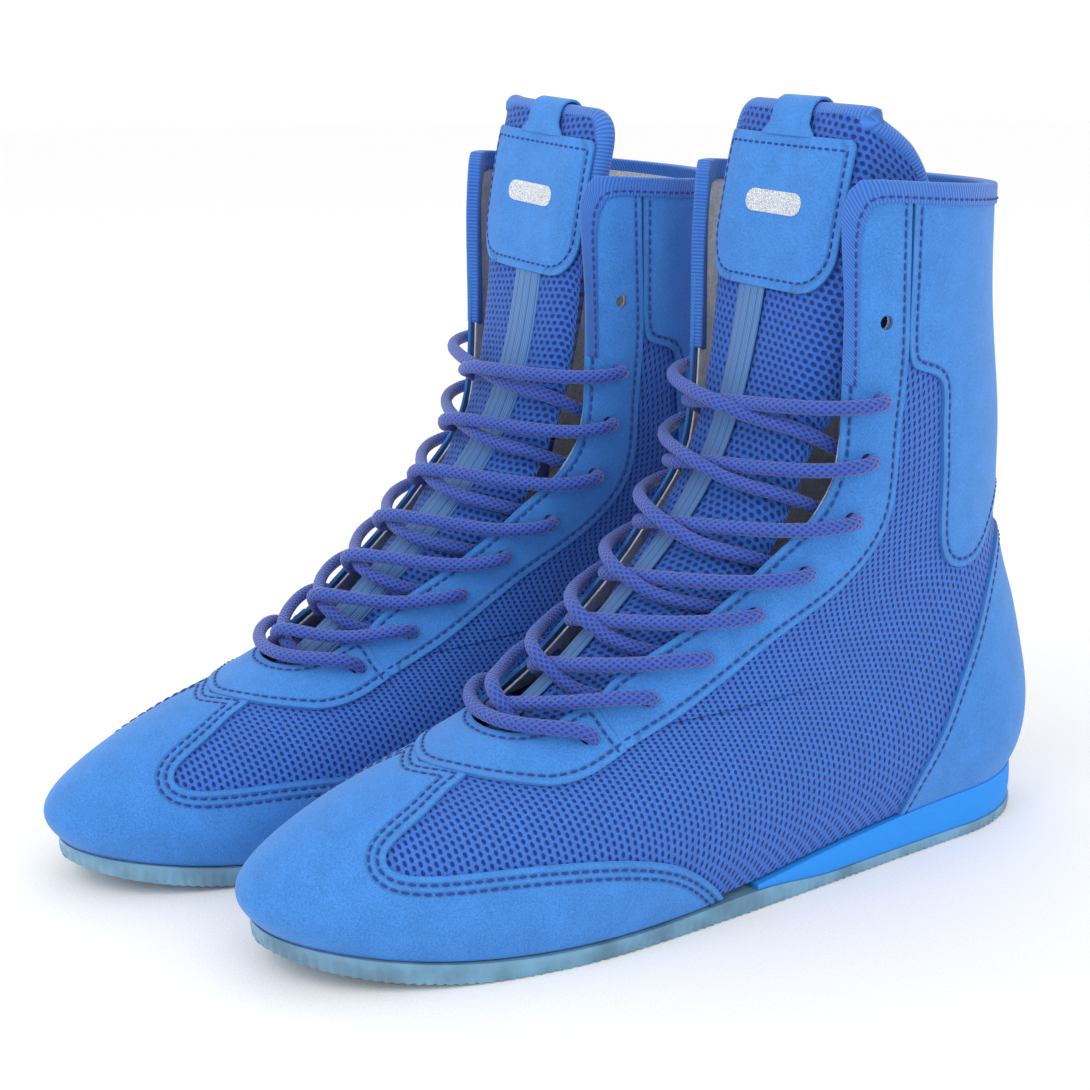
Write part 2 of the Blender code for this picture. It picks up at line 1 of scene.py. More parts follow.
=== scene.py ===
"""Looks for a pair of high lace-up boxing boots.

Each boot is cut, stitched and laced on its own last. A place on the last is (u, v): u runs
from 0 at the front centre to 1 at the back centre by the lateral side and to -1 by the medial
side, and v runs from 0 at the sole to 1 at the collar. Lengths on the last are in millimetres,
in the left boot's own frame, and Boot.stand turns them into metres where the boot stands.
"""
from __future__ import annotations

import json
import logging
import math
from dataclasses import dataclass, field
from enum import Enum
from typing import Callable, ClassVar, Sequence

import bmesh
import bpy
import numpy as np
from mathutils import Matrix, Vector

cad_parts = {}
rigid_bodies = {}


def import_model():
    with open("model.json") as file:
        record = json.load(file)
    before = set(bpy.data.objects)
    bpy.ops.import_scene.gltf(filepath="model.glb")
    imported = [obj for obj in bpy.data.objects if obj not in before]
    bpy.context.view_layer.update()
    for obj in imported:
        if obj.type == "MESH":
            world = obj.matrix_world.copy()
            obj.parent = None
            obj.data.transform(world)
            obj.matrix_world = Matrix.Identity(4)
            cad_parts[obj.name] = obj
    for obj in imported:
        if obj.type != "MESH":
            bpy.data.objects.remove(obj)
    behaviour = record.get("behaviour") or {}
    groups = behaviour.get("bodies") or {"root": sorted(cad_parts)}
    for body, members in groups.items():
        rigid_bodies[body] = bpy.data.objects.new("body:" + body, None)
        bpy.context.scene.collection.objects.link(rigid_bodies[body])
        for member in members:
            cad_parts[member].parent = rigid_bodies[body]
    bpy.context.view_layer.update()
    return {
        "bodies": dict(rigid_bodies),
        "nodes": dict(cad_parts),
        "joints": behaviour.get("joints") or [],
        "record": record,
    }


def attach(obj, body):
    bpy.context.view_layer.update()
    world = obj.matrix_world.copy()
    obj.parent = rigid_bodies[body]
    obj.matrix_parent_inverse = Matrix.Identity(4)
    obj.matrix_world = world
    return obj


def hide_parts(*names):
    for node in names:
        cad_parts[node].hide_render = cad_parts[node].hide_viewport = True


log = logging.getLogger("boots")

MM = 0.001
Colour = tuple[float, float, float]
Pair = tuple[float, float]
Place = Callable[[np.ndarray, np.ndarray, np.ndarray], np.ndarray]


class Side(Enum):
    """The two sides of a boot."""

    LATERAL = 1
    MEDIAL = -1


# --------------------------------------------------------------------------- curves


@dataclass
class Spline:
    """The natural cubic spline through values at knots."""

    knots: Sequence[float]
    values: Sequence

    def __post_init__(self) -> None:
        """Solve for the bend at every knot."""
        self.knots = np.asarray(self.knots, float)
        self.values = np.asarray(self.values, float)
        count = len(self.knots)
        self.step = np.diff(self.knots)
        matrix = np.eye(count)
        right = np.zeros(self.values.shape)
        for i in range(1, count - 1):
            before, after = self.step[i - 1], self.step[i]
            matrix[i, i - 1:i + 2] = before, 2 * (before + after), after
            rise = (self.values[i + 1] - self.values[i]) / after
            right[i] = 6 * (rise - (self.values[i] - self.values[i - 1]) / before)
        self.bend = np.linalg.solve(matrix, right)

    def __call__(self, x: np.ndarray | float) -> np.ndarray:
        """Read the spline.

        Args:
            x: where to read it.

        Returns:
            The values there, with the values' own shape last.
        """
        x = np.asarray(x, float)
        i = np.clip(np.searchsorted(self.knots, x) - 1, 0, len(self.knots) - 2)
        wide = (...,) + (None,) * (self.values.ndim - 1)
        gap = self.step[i][wide]
        after = (self.knots[i + 1] - x)[wide]
        before = (x - self.knots[i])[wide]
        low, high = self.bend[i], self.bend[i + 1]
        cubic = (low * after ** 3 + high * before ** 3) / (6 * gap)
        line = (self.values[i] / gap - low * gap / 6) * after
        return cubic + line + (self.values[i + 1] / gap - high * gap / 6) * before


def smoothstep(value: np.ndarray | float, low: float, high: float) -> np.ndarray:
    """Ease from 0 at low to 1 at high."""
    share = np.clip((np.asarray(value, float) - low) / (high - low), 0, 1)
    return share * share * (3 - 2 * share)


def evenly(path: np.ndarray, count: int) -> np.ndarray:
    """Sample a path again.

    Args:
        path: its points.
        count: how many to return.

    Returns:
        Points spaced evenly along it.
    """
    step = np.linalg.norm(np.diff(path, axis=0) * (1, 1.2, 1)[:path.shape[1]], axis=1)
    run = np.concatenate([[0], np.cumsum(step)])
    want = np.linspace(0, run[-1], count)
    return np.stack([np.interp(want, run, path[:, k]) for k in range(path.shape[1])], -1)


def through(points: Sequence[Pair], count: int = 160, soft: bool = True) -> np.ndarray:
    """A smooth path through a few points.

    Args:
        points: the points, in order.
        count: how many samples to return.
        soft: a spline where true, straight runs where false.

    Returns:
        The samples, evenly spaced.
    """
    points = np.asarray(points, float)
    if soft and len(points) > 2:
        run = np.linalg.norm(np.diff(points, axis=0), axis=1) ** 0.6
        run = np.concatenate([[0], np.cumsum(run)])
        points = Spline(run, points)(np.linspace(0, run[-1], 12 * len(points)))
    return evenly(points, count)


def chain(count: int, *paths: np.ndarray) -> np.ndarray:
    """Join paths end to end and sample them evenly again."""
    return evenly(np.concatenate(paths), count)


# --------------------------------------------------------------------------- the last


@dataclass
class Last:
    """The form a boot is shaped on.

    Each ring is an oval that leans from its front point to its back point.
    """

    tilt: float
    fields: ClassVar[tuple[str, ...]] = (
        "front_y", "front_z", "back_y", "back_z", "half_lateral", "half_medial",
        "front_share", "front_power", "back_share", "back_power", "waist", "front_x",
        "back_x")
    rings: ClassVar[tuple[tuple[float, ...], ...]] = (
        (0.00, -290, 15, 2.5, 17, 46, 43, .36, 2.0, .15, 2.1, .27, -4, 1),
        (0.07, -296, 25, 6.5, 27, 48, 46, .38, 2.0, .15, 2.1, .24, -4, 1),
        (0.16, -282, 38, 7.5, 43, 47, 45, .42, 2.0, .16, 2.1, .19, -4, 1),
        (0.27, -251, 51, 4.0, 62, 43, 41, .46, 2.0, .20, 2.1, .10, -3, 1),
        (0.40, -209, 66, -2.5, 83, 41, 39, .48, 2.1, .26, 2.1, .04, -2, 1),
        (0.52, -172, 94, -9.5, 101, 40, 38, .46, 2.3, .35, 2.1, .00, -1, 1),
        (0.63, -141, 124, -9.0, 122, 41, 41, .40, 2.7, .52, 1.9, .00, -1, 0),
        (0.75, -122, 158, -11, 150, 42, 42, .34, 3.0, .62, 1.9, .00, -2, 0),
        (0.87, -114, 197, -18, 187, 43, 43, .30, 3.4, .66, 1.9, .00, -2, 0),
        (1.00, -109, 233, -22, 228, 44, 44, .28, 3.8, .66, 1.9, .00, -2, 0),
        (1.12, -104, 268, -26, 264, 44, 44, .28, 3.8, .66, 1.9, .00, -2, 0))
    feather: ClassVar[Spline] = Spline((-300, -250, -200, -150, -110, -60, 10),
                                       (17, 8.5, 6, 7.5, 12, 16, 17.5))
    ring_at: ClassVar[Spline] = Spline([ring[0] for ring in rings],
                                       [ring[1:] for ring in rings])
    feather_fade: ClassVar[float] = 0.45

    def ring(self, v: np.ndarray | float) -> dict[str, np.ndarray]:
        """The ring's fields at height v, by name."""
        return dict(zip(self.fields, np.moveaxis(self.ring_at(v), -1, 0)))

    def surface(self, u: np.ndarray, v: np.ndarray) -> np.ndarray:
        """Points of the last.

        Args:
            u: how far round, from -1 to 2.
            v: how high.

        Returns:
            The points, in mm.
        """
        u, v = np.broadcast_arrays(np.asarray(u, float), np.asarray(v, float))
        u = np.where(u > 1, u - 2, u)
        ring = self.ring(v)
        along = (1 - np.cos(np.abs(u) * np.pi)) / 2
        y = ring["front_y"] + (ring["back_y"] - ring["front_y"]) * along
        ends = self.feather(ring["front_y"]) * (1 - along)
        ends = ends + self.feather(ring["back_y"]) * along
        fade = np.clip(1 - v / self.feather_fade, 0, 1) ** 2
        z = ring["front_z"] + (ring["back_z"] - ring["front_z"]) * along
        z = z + fade * (self.feather(y) - ends)
        front = np.clip(1 - along / ring["front_share"], 0, 1)
        back = np.clip((along - 1 + ring["back_share"]) / ring["back_share"], 0, 1)
        width = (1 - front ** ring["front_power"]) ** (1 / ring["front_power"])
        width = width * (1 - back ** ring["back_power"]) ** (1 / ring["back_power"])
        width = width * (1 - ring["waist"] * smoothstep(
            along / (1 - 0.7 * ring["front_share"])
            - 0.7 * ring["front_share"] / (1 - 0.7 * ring["front_share"]), 0, 1))
        width = width * np.where(u >= 0, ring["half_lateral"], ring["half_medial"])
        centre = ring["front_x"] * (1 - along) ** 2 + ring["back_x"] * along
        x = centre + np.sign(u) * width
        return np.stack([x, y, z + self.tilt * x * smoothstep(v, 0.5, 1)], -1)

    def slopes(self, u: np.ndarray, v: np.ndarray) -> tuple[np.ndarray, np.ndarray]:
        """How the surface moves with u and with v."""
        h = 0.002
        across = self.surface(u + h, v) - self.surface(u - h, v)
        upward = self.surface(u, v + h) - self.surface(u, v - h)
        return across / (2 * h), upward / (2 * h)

    def layer(self, u: np.ndarray, v: np.ndarray, out: np.ndarray | float) -> np.ndarray:
        """Points that lie a distance out of the last."""
        u, v = np.asarray(u, float), np.asarray(v, float)
        normal = np.cross(*self.slopes(u, v))
        normal = normal / np.linalg.norm(normal, axis=-1, keepdims=True)
        return self.surface(u, v) + normal * np.asarray(out, float)[..., None]

    def inset(self, path: np.ndarray, gap: float, side: int) -> np.ndarray:
        """Move a path sideways over the last, for a row of stitches.

        Args:
            path: (u, v) points.
            gap: how far, in mm.
            side: 1 to go left of the path seen from outside, -1 to go right.

        Returns:
            The moved (u, v) points, without those that a corner folds back.
        """
        fine = evenly(path, 500)
        u, v = fine[:, 0], fine[:, 1]
        across, upward = self.slopes(u, v)
        ground = self.surface(u, v)
        run = np.gradient(ground, axis=0)
        run = run / np.maximum(np.linalg.norm(run, axis=1, keepdims=True), 1e-9)
        normal = np.cross(across, upward)
        normal = normal / np.linalg.norm(normal, axis=1, keepdims=True)
        move = np.cross(normal, run) * gap * side
        dot = np.einsum
        uu, uv = dot("ij,ij->i", across, across), dot("ij,ij->i", across, upward)
        vv = dot("ij,ij->i", upward, upward)
        a, b = dot("ij,ij->i", across, move), dot("ij,ij->i", upward, move)
        size = uu * vv - uv * uv
        moved = np.stack([u + (a * vv - b * uv) / size, v + (b * uu - a * uv) / size], -1)
        there = self.surface(moved[:, 0], moved[:, 1])
        near = np.linalg.norm(there[:, None] - ground[None, ::3], axis=2).min(1)
        return moved[near > 0.9 * abs(gap)]

    def u_at_x(self, x: np.ndarray, v: np.ndarray) -> np.ndarray:
        """The u of the front of the ring where the surface stands at x."""
        ring = self.ring(v)
        side = np.where(x >= 0, ring["half_lateral"], ring["half_medial"])
        share = np.clip(np.abs(x) / side, 0, 0.999)
        along = (1 - share ** ring["front_power"]) ** (1 / ring["front_power"])
        along = ring["front_share"] * (1 - along)
        return np.sign(x) * np.arccos(1 - 2 * along) / np.pi


@dataclass
class Boot:
    """One boot: its last, where it stands, and its handedness."""

    name: str
    place: Pair
    turn: float
    tilt: float
    mirrored: bool

    def __post_init__(self) -> None:
        """Make the last."""
        self.last = Last(self.tilt)

    def stand(self, points: np.ndarray) -> np.ndarray:
        """Left-boot points in mm, as metres where this boot stands."""
        points = np.array(points, float)
        if self.mirrored:
            points[..., 0] *= -1
        cos, sin = math.cos(math.radians(self.turn)), math.sin(math.radians(self.turn))
        x = points[..., 0] * cos - points[..., 1] * sin + self.place[0]
        y = points[..., 0] * sin + points[..., 1] * cos + self.place[1]
        return np.stack([x, y, points[..., 2]], -1) * MM

    def body(self, part: str = "boot") -> str:
        """The name of the body that a piece rides on."""
        return f"{self.name}_{part}"


# --------------------------------------------------------------------------- finishes


class Shade:
    """A number in a shader, which makes Math nodes as it is used in sums."""

    def __init__(self, nodes: Nodes, socket: bpy.types.NodeSocket) -> None:
        """Hold the socket."""
        self.nodes = nodes
        self.socket = socket

    def math(self, operation: str, *others: Shade | float) -> Shade:
        """This number and others through one Math node.

        Args:
            operation: the Math node's operation.
            others: the further inputs.

        Returns:
            The result.
        """
        values = {i: other for i, other in enumerate((self, *others))}
        made = self.nodes.node("ShaderNodeMath", {"operation": operation}, values)
        return Shade(self.nodes, made.outputs[0])

    def __add__(self, other: Shade | float) -> Shade:
        """Sum."""
        return self.math("ADD", other)

    def __sub__(self, other: Shade | float) -> Shade:
        """Difference."""
        return self.math("SUBTRACT", other)

    def __mul__(self, other: Shade | float) -> Shade:
        """Product."""
        return self.math("MULTIPLY", other)

    def __rsub__(self, other: float) -> Shade:
        """A number less this one."""
        return self.math("MULTIPLY", -1.0).math("ADD", other)

    __radd__ = __add__
    __rmul__ = __mul__

    def wave(self, period: float) -> Shade:
        """A sine of this period, from 0 to 1."""
        return (self * (2 * math.pi / period)).math("SINE") * 0.5 + 0.5

    def ease(self, low: float, high: float) -> Shade:
        """Ease from 0 at low to 1 at high."""
        made = self.nodes.node(
            "ShaderNodeMapRange", {"interpolation_type": "SMOOTHSTEP"},
            {"Value": self, "From Min": low, "From Max": high})
        return Shade(self.nodes, made.outputs[0])

    def dip(self, centre: float, half: float) -> Shade:
        """1 at the centre, easing to 0 at half away from it."""
        return 1 - (self - centre).math("ABSOLUTE").ease(0.0, half)


class Nodes:
    """The nodes of one material."""

    def __init__(self, material: bpy.types.Material) -> None:
        """Take the material's tree and its shader."""
        material.use_nodes = True
        self.tree = material.node_tree
        self.shader = self.tree.nodes["Principled BSDF"]

    def node(self, kind: str, settings: dict[str, object] | None = None,
             values: dict[str | int, object] | None = None) -> bpy.types.Node:
        """Make one node.

        Args:
            kind: its type.
            settings: its own settings, set first.
            values: numbers, colours or links for its sockets.

        Returns:
            The node.
        """
        made = self.tree.nodes.new(kind)
        for name, value in (settings or {}).items():
            setattr(made, name, value)
        for name, value in (values or {}).items():
            self.feed(made.inputs[name], value)
        return made

    def feed(self, socket: bpy.types.NodeSocket, value: object) -> None:
        """Give a socket a link or a value."""
        if isinstance(value, Shade):
            self.tree.links.new(value.socket, socket)
        elif isinstance(value, bpy.types.NodeSocket):
            self.tree.links.new(value, socket)
        elif isinstance(value, tuple) and len(value) == 3 and socket.type == "RGBA":
            socket.default_value = (*value, 1)
        else:
            socket.default_value = value

    def place(self) -> bpy.types.NodeSocket:
        """Where a point is on the piece."""
        return self.node("ShaderNodeTexCoord").outputs["Object"]

    def noise(self, size: float, detail: float = 2.0, stretch: Colour = (1, 1, 1)) -> Shade:
        """Soft noise.

        Args:
            size: the size of its spots, in mm.
            detail: how many finer octaves it has.
            stretch: how much denser it is along each axis.

        Returns:
            The noise, from 0 to 1.
        """
        spread = self.node("ShaderNodeMapping", {}, {"Vector": self.place(), "Scale": stretch})
        made = self.node("ShaderNodeTexNoise", {}, {
            "Vector": spread.outputs[0], "Scale": 1 / (size * MM), "Detail": detail})
        return Shade(self, made.outputs[0])

    def number(self, name: str) -> Shade:
        """A number that the mesh carries."""
        made = self.node("ShaderNodeAttribute", {"attribute_name": name})
        return Shade(self, made.outputs["Fac"])

    def cloth(self) -> tuple[Shade, Shade]:
        """The piece's own two directions over its cloth, in mm."""
        apart = self.node("ShaderNodeSeparateXYZ", {}, {
            0: self.node("ShaderNodeUVMap", {"uv_map": "cloth"}).outputs[0]})
        return Shade(self, apart.outputs[0]), Shade(self, apart.outputs[1])

    def mix(self, factor: Shade, low: object, high: object) -> bpy.types.NodeSocket:
        """Mix two colours.

        Args:
            factor: 0 for low and 1 for high.
            low: a colour or a colour socket.
            high: the other one.

        Returns:
            The mixed colour.
        """
        made = self.node("ShaderNodeMix", {"data_type": "RGBA"}, {0: factor, 6: low, 7: high})
        return made.outputs[2]

    def bump(self, height: Shade, depth: float, strength: float = 1.0) -> None:
        """Raise the surface by a height from 0 to 1, depth in mm."""
        made = self.node("ShaderNodeBump", {}, {
            "Height": height, "Distance": depth * MM, "Strength": strength})
        self.feed(self.shader.inputs["Normal"], made.outputs[0])

    def finish(self, **values: object) -> None:
        """Feed the shader's sockets, named with underscores."""
        for name, value in values.items():
            title = name.replace("_", " ").title().replace("Ior", "IOR")
            self.feed(self.shader.inputs[title], value)


@dataclass(frozen=True)
class Finish:
    """A plain finish with a fine grain, and the base of the others."""

    name: str
    colour: Colour
    roughness: float = 0.6
    grain: float = 0.8

    def material(self) -> bpy.types.Material:
        """The finish's material, made once."""
        found = bpy.data.materials.get(self.name)
        if found is None:
            found = bpy.data.materials.new(self.name)
            self.dress(Nodes(found))
        return found

    def shades(self, low: float, high: float) -> tuple[Colour, Colour]:
        """The colour darkened and lightened."""
        return (tuple(c * low for c in self.colour),
                tuple(min(c * high, 1.0) for c in self.colour))

    def dress(self, nodes: Nodes) -> None:
        """Make the material's nodes."""
        grain = nodes.noise(self.grain, 3)
        low, high = self.shades(0.85, 1.12)
        nodes.finish(base_color=nodes.mix(grain, low, high), roughness=self.roughness)
        nodes.bump(grain, 0.1)


@dataclass(frozen=True)
class Suede(Finish):
    """Napped suede, pressed down along its rows of stitches, with painted shade darkening those
    grooves.
    """

    rows: tuple[float, ...] = ()

    def dress(self, nodes: Nodes) -> None:
        """Make the material's nodes."""
        nap = nodes.noise(0.55, 4)
        brushed = nodes.noise(9, 3)
        tone = nap * 0.75 + brushed * 0.25
        low, high = self.shades(0.80, 1.20)
        colour = nodes.mix(tone.ease(0.3, 0.7), low, high)
        height = nap * 0.35 + brushed * 0.2
        edge = nodes.number("edge_mm")
        for row in self.rows:
            groove_and_shade = edge.dip(row, 1.1)
            height = height - groove_and_shade
            # painted shade: the colour is darkened in each stitch groove, where shade falls
            colour = nodes.mix(groove_and_shade * 0.35, colour, self.shades(0.45, 1)[0])
        colour = nodes.mix((1 - edge.ease(0.0, 0.9)) * 0.35, colour, self.shades(0.6, 1)[0])
        nodes.finish(base_color=colour, roughness=self.roughness, sheen_weight=0.35,
                     sheen_roughness=0.45, sheen_tint=(0.55, 0.75, 1.0), specular_ior_level=0.2)
        nodes.bump(height, 0.45)


@dataclass(frozen=True)
class AirMesh(Finish):
    """Knitted air mesh: strands round staggered holes, with painted shade filling the holes."""

    pitch: Pair = (2.3, 3.4)
    hole: Pair = (0.27, 0.36)
    # the dark colour of the painted shade in the knit's holes
    painted_hole_shade: Colour = (0.005, 0.02, 0.16)

    def dress(self, nodes: Nodes) -> None:
        """Make the material's nodes."""
        across, along = nodes.cloth()
        column = across * (1 / self.pitch[0])
        odd = column.math("FLOOR").math("MODULO", 2.0).math("ABSOLUTE") * 0.5
        row = along * (1 / self.pitch[1]) + odd
        x = (column.math("FRACT") - 0.5) * (1 / self.hole[0])
        y = (row.math("FRACT") - 0.5) * (1 / self.hole[1])
        round_hole = (x * x + y * y).math("SQRT")
        strand = round_hole.ease(0.55, 1.25)
        fibre = nodes.noise(0.35, 2, (1, 1, 0.4))
        uneven = nodes.noise(14, 2)
        low, high = self.shades(0.75, 1.25)
        lit = nodes.mix(fibre.ease(0.25, 0.75), low, high)
        lit = nodes.mix((1 - uneven.ease(0.2, 0.8)) * 0.25, lit, low)
        # painted shade: the holes take the dark colour, which eases into the strands' colour
        # round their rims
        nodes.finish(base_color=nodes.mix(strand, self.painted_hole_shade, lit), roughness=self.roughness,
                     sheen_weight=0.15, sheen_roughness=0.4, specular_ior_level=0.35)
        nodes.bump(strand * 0.85 + fibre * 0.15, 0.6)


@dataclass(frozen=True)
class Twill(Finish):
    """Woven tape with slanting ribs, and cross lines where it has them."""

    rib: float = 1.25
    slant: float = 1.0
    lines: float = 0.0

    def dress(self, nodes: Nodes) -> None:
        """Make the material's nodes."""
        along, across = nodes.cloth()
        rib = (along + across * self.slant).wave(self.rib)
        fibre = nodes.noise(0.3, 2)
        low, high = self.shades(0.6, 1.25)
        colour = nodes.mix(rib * 0.8 + fibre * 0.2, low, high)
        height = rib * 0.8 + fibre * 0.2
        if self.lines:
            line = along.wave(self.lines).ease(0.90, 0.99)
            colour = nodes.mix(line * 0.7, colour, self.shades(0.25, 1)[0])
            height = height - line * 0.5
        nodes.finish(base_color=colour, roughness=self.roughness, sheen_weight=0.2)
        nodes.bump(height, 0.22)


@dataclass(frozen=True)
class Braid(Finish):
    """Round cord: two sets of strands wound over each other."""

    strand: float = 2.6
    turns: int = 7

    def dress(self, nodes: Nodes) -> None:
        """Make the material's nodes."""
        along, around = nodes.cloth()
        wind = around * (self.turns * self.strand)
        left = (along + wind).wave(self.strand)
        right = (along - wind).wave(self.strand)
        plait = left.math("MAXIMUM", right)
        low, high = self.shades(0.45, 1.35)
        nodes.finish(base_color=nodes.mix(plait.ease(0.35, 1.0), low, high),
                     roughness=self.roughness, sheen_weight=0.25)
        nodes.bump(plait, 0.35)


@dataclass(frozen=True)
class Felt(Finish):
    """Soft felt."""

    def dress(self, nodes: Nodes) -> None:
        """Make the material's nodes."""
        fluff = nodes.noise(0.9, 5)
        patch = nodes.noise(7, 2)
        low, high = self.shades(0.72, 1.12)
        nodes.finish(base_color=nodes.mix((fluff * 0.6 + patch * 0.4).ease(0.3, 0.7), low, high),
                     roughness=self.roughness, sheen_weight=0.4)
        nodes.bump(fluff, 0.5)


@dataclass(frozen=True)
class Rubber(Finish):
    """Clear-looking rubber, cloudy inside and scuffed outside."""

    coat: float = 0.25

    def dress(self, nodes: Nodes) -> None:
        """Make the material's nodes."""
        cloud = nodes.noise(16, 3)
        scuff = nodes.noise(1.6, 3)
        low, high = self.shades(0.72, 1.3)
        nodes.finish(base_color=nodes.mix(cloud.ease(0.3, 0.7), low, high),
                     roughness=scuff * 0.2 + (self.roughness - 0.1),
                     coat_weight=self.coat, coat_roughness=0.2, subsurface_weight=0.15)
        nodes.bump(scuff, 0.08)


@dataclass(frozen=True)
class Glitter(Finish):
    """Silver print with a fine sparkle."""

    def dress(self, nodes: Nodes) -> None:
        """Make the material's nodes."""
        fleck = nodes.noise(0.35, 1)
        low, high = self.shades(0.55, 1.2)
        nodes.finish(base_color=nodes.mix(fleck.ease(0.35, 0.65), low, high), metallic=0.75,
                     roughness=fleck * 0.4 + 0.2)
        nodes.bump(fleck, 0.12)


SUEDE_BLUE = (0.050, 0.215, 0.60)
PLAIN_SUEDE = Suede("suede", SUEDE_BLUE, 0.9)
EDGED_SUEDE = Suede("suede_edged", SUEDE_BLUE, 0.9, rows=(2.6,))
DOUBLE_SUEDE = Suede("suede_double_edged", SUEDE_BLUE, 0.9, rows=(2.6, 5.2))
SIDE_MESH = AirMesh("upper_air_mesh", (0.032, 0.150, 0.58), 0.75)
TONGUE_MESH = AirMesh("tongue_air_mesh", (0.02, 0.12, 0.52), 0.75, pitch=(2.4, 2.9),
                      hole=(0.32, 0.34))
TAPE = Twill("twill_tape", (0.03, 0.16, 0.58), 0.75)
RIBBON = Twill("grosgrain_ribbon", (0.06, 0.20, 0.50), 0.7, rib=0.9, slant=0.0, lines=3.6)
LACE = Braid("lace_braid", (0.014, 0.062, 0.38), 0.62)
THREAD = Finish("navy_thread", (0.01, 0.035, 0.27), 0.6, grain=0.3)
FELT = Felt("lining_felt_grey", (0.62, 0.64, 0.68), 0.95)
SOCK_CLOTH = Felt("sock_cloth", (0.03, 0.07, 0.25), 0.95)
SOLE_RUBBER = Rubber("clear_blue_rubber", (0.12, 0.27, 0.40), 0.42)
WEDGE_FOAM = Finish("bright_blue_foam", (0.012, 0.26, 0.80), 0.8, grain=0.8)
BOARD = Finish("fibre_board", (0.55, 0.45, 0.33), 0.85, grain=1.6)
STIFF_SHEET = Finish("stiff_sheet", (0.75, 0.74, 0.70), 0.8, grain=1.2)
PAD_FOAM = Finish("pad_foam", (0.85, 0.83, 0.75), 0.95, grain=0.7)
AGLET_FILM = Finish("aglet_film", (0.03, 0.10, 0.45), 0.25, grain=2.0)
SILVER = Glitter("silver_print", (0.72, 0.76, 0.82), 0.3)


# --------------------------------------------------------------------------- pieces


def make_object(name: str, bm: bmesh.types.BMesh, finish: Finish, smooth: float = 45,
                ) -> bpy.types.Object:
    """Turn a bmesh into a shown piece.

    Args:
        name: the piece's name.
        bm: its mesh, in metres, which is freed.
        finish: its finish.
        smooth: edges sharper than this many degrees stay sharp.

    Returns:
        The object, at the origin.
    """
    bmesh.ops.recalc_face_normals(bm, faces=bm.faces)
    if bm.calc_volume(signed=True) < 0:
        bmesh.ops.reverse_faces(bm, faces=bm.faces)
    mesh = bpy.data.meshes.new(name)
    bm.to_mesh(mesh)
    bm.free()
    piece = bpy.data.objects.new(name, mesh)
    bpy.context.scene.collection.objects.link(piece)
    mesh.materials.append(finish.material())
    mesh.shade_smooth()
    mesh.set_sharp_from_angle(angle=math.radians(smooth))
    return piece


def round_edges(piece: bpy.types.Object, width: float, segments: int = 2) -> None:
    """Round a piece's sharp edges, width in mm."""
    bevel = piece.modifiers.new("rounded", "BEVEL")
    bevel.width = width * MM
    bevel.segments = segments
    bevel.limit_method = "ANGLE"
    bevel.angle_limit = math.radians(50)
    bevel.harden_normals = False


def spread(path: np.ndarray) -> np.ndarray:
    """The running length along a path, from 0."""
    return np.concatenate([[0], np.cumsum(np.linalg.norm(np.diff(path, axis=0), axis=1))])


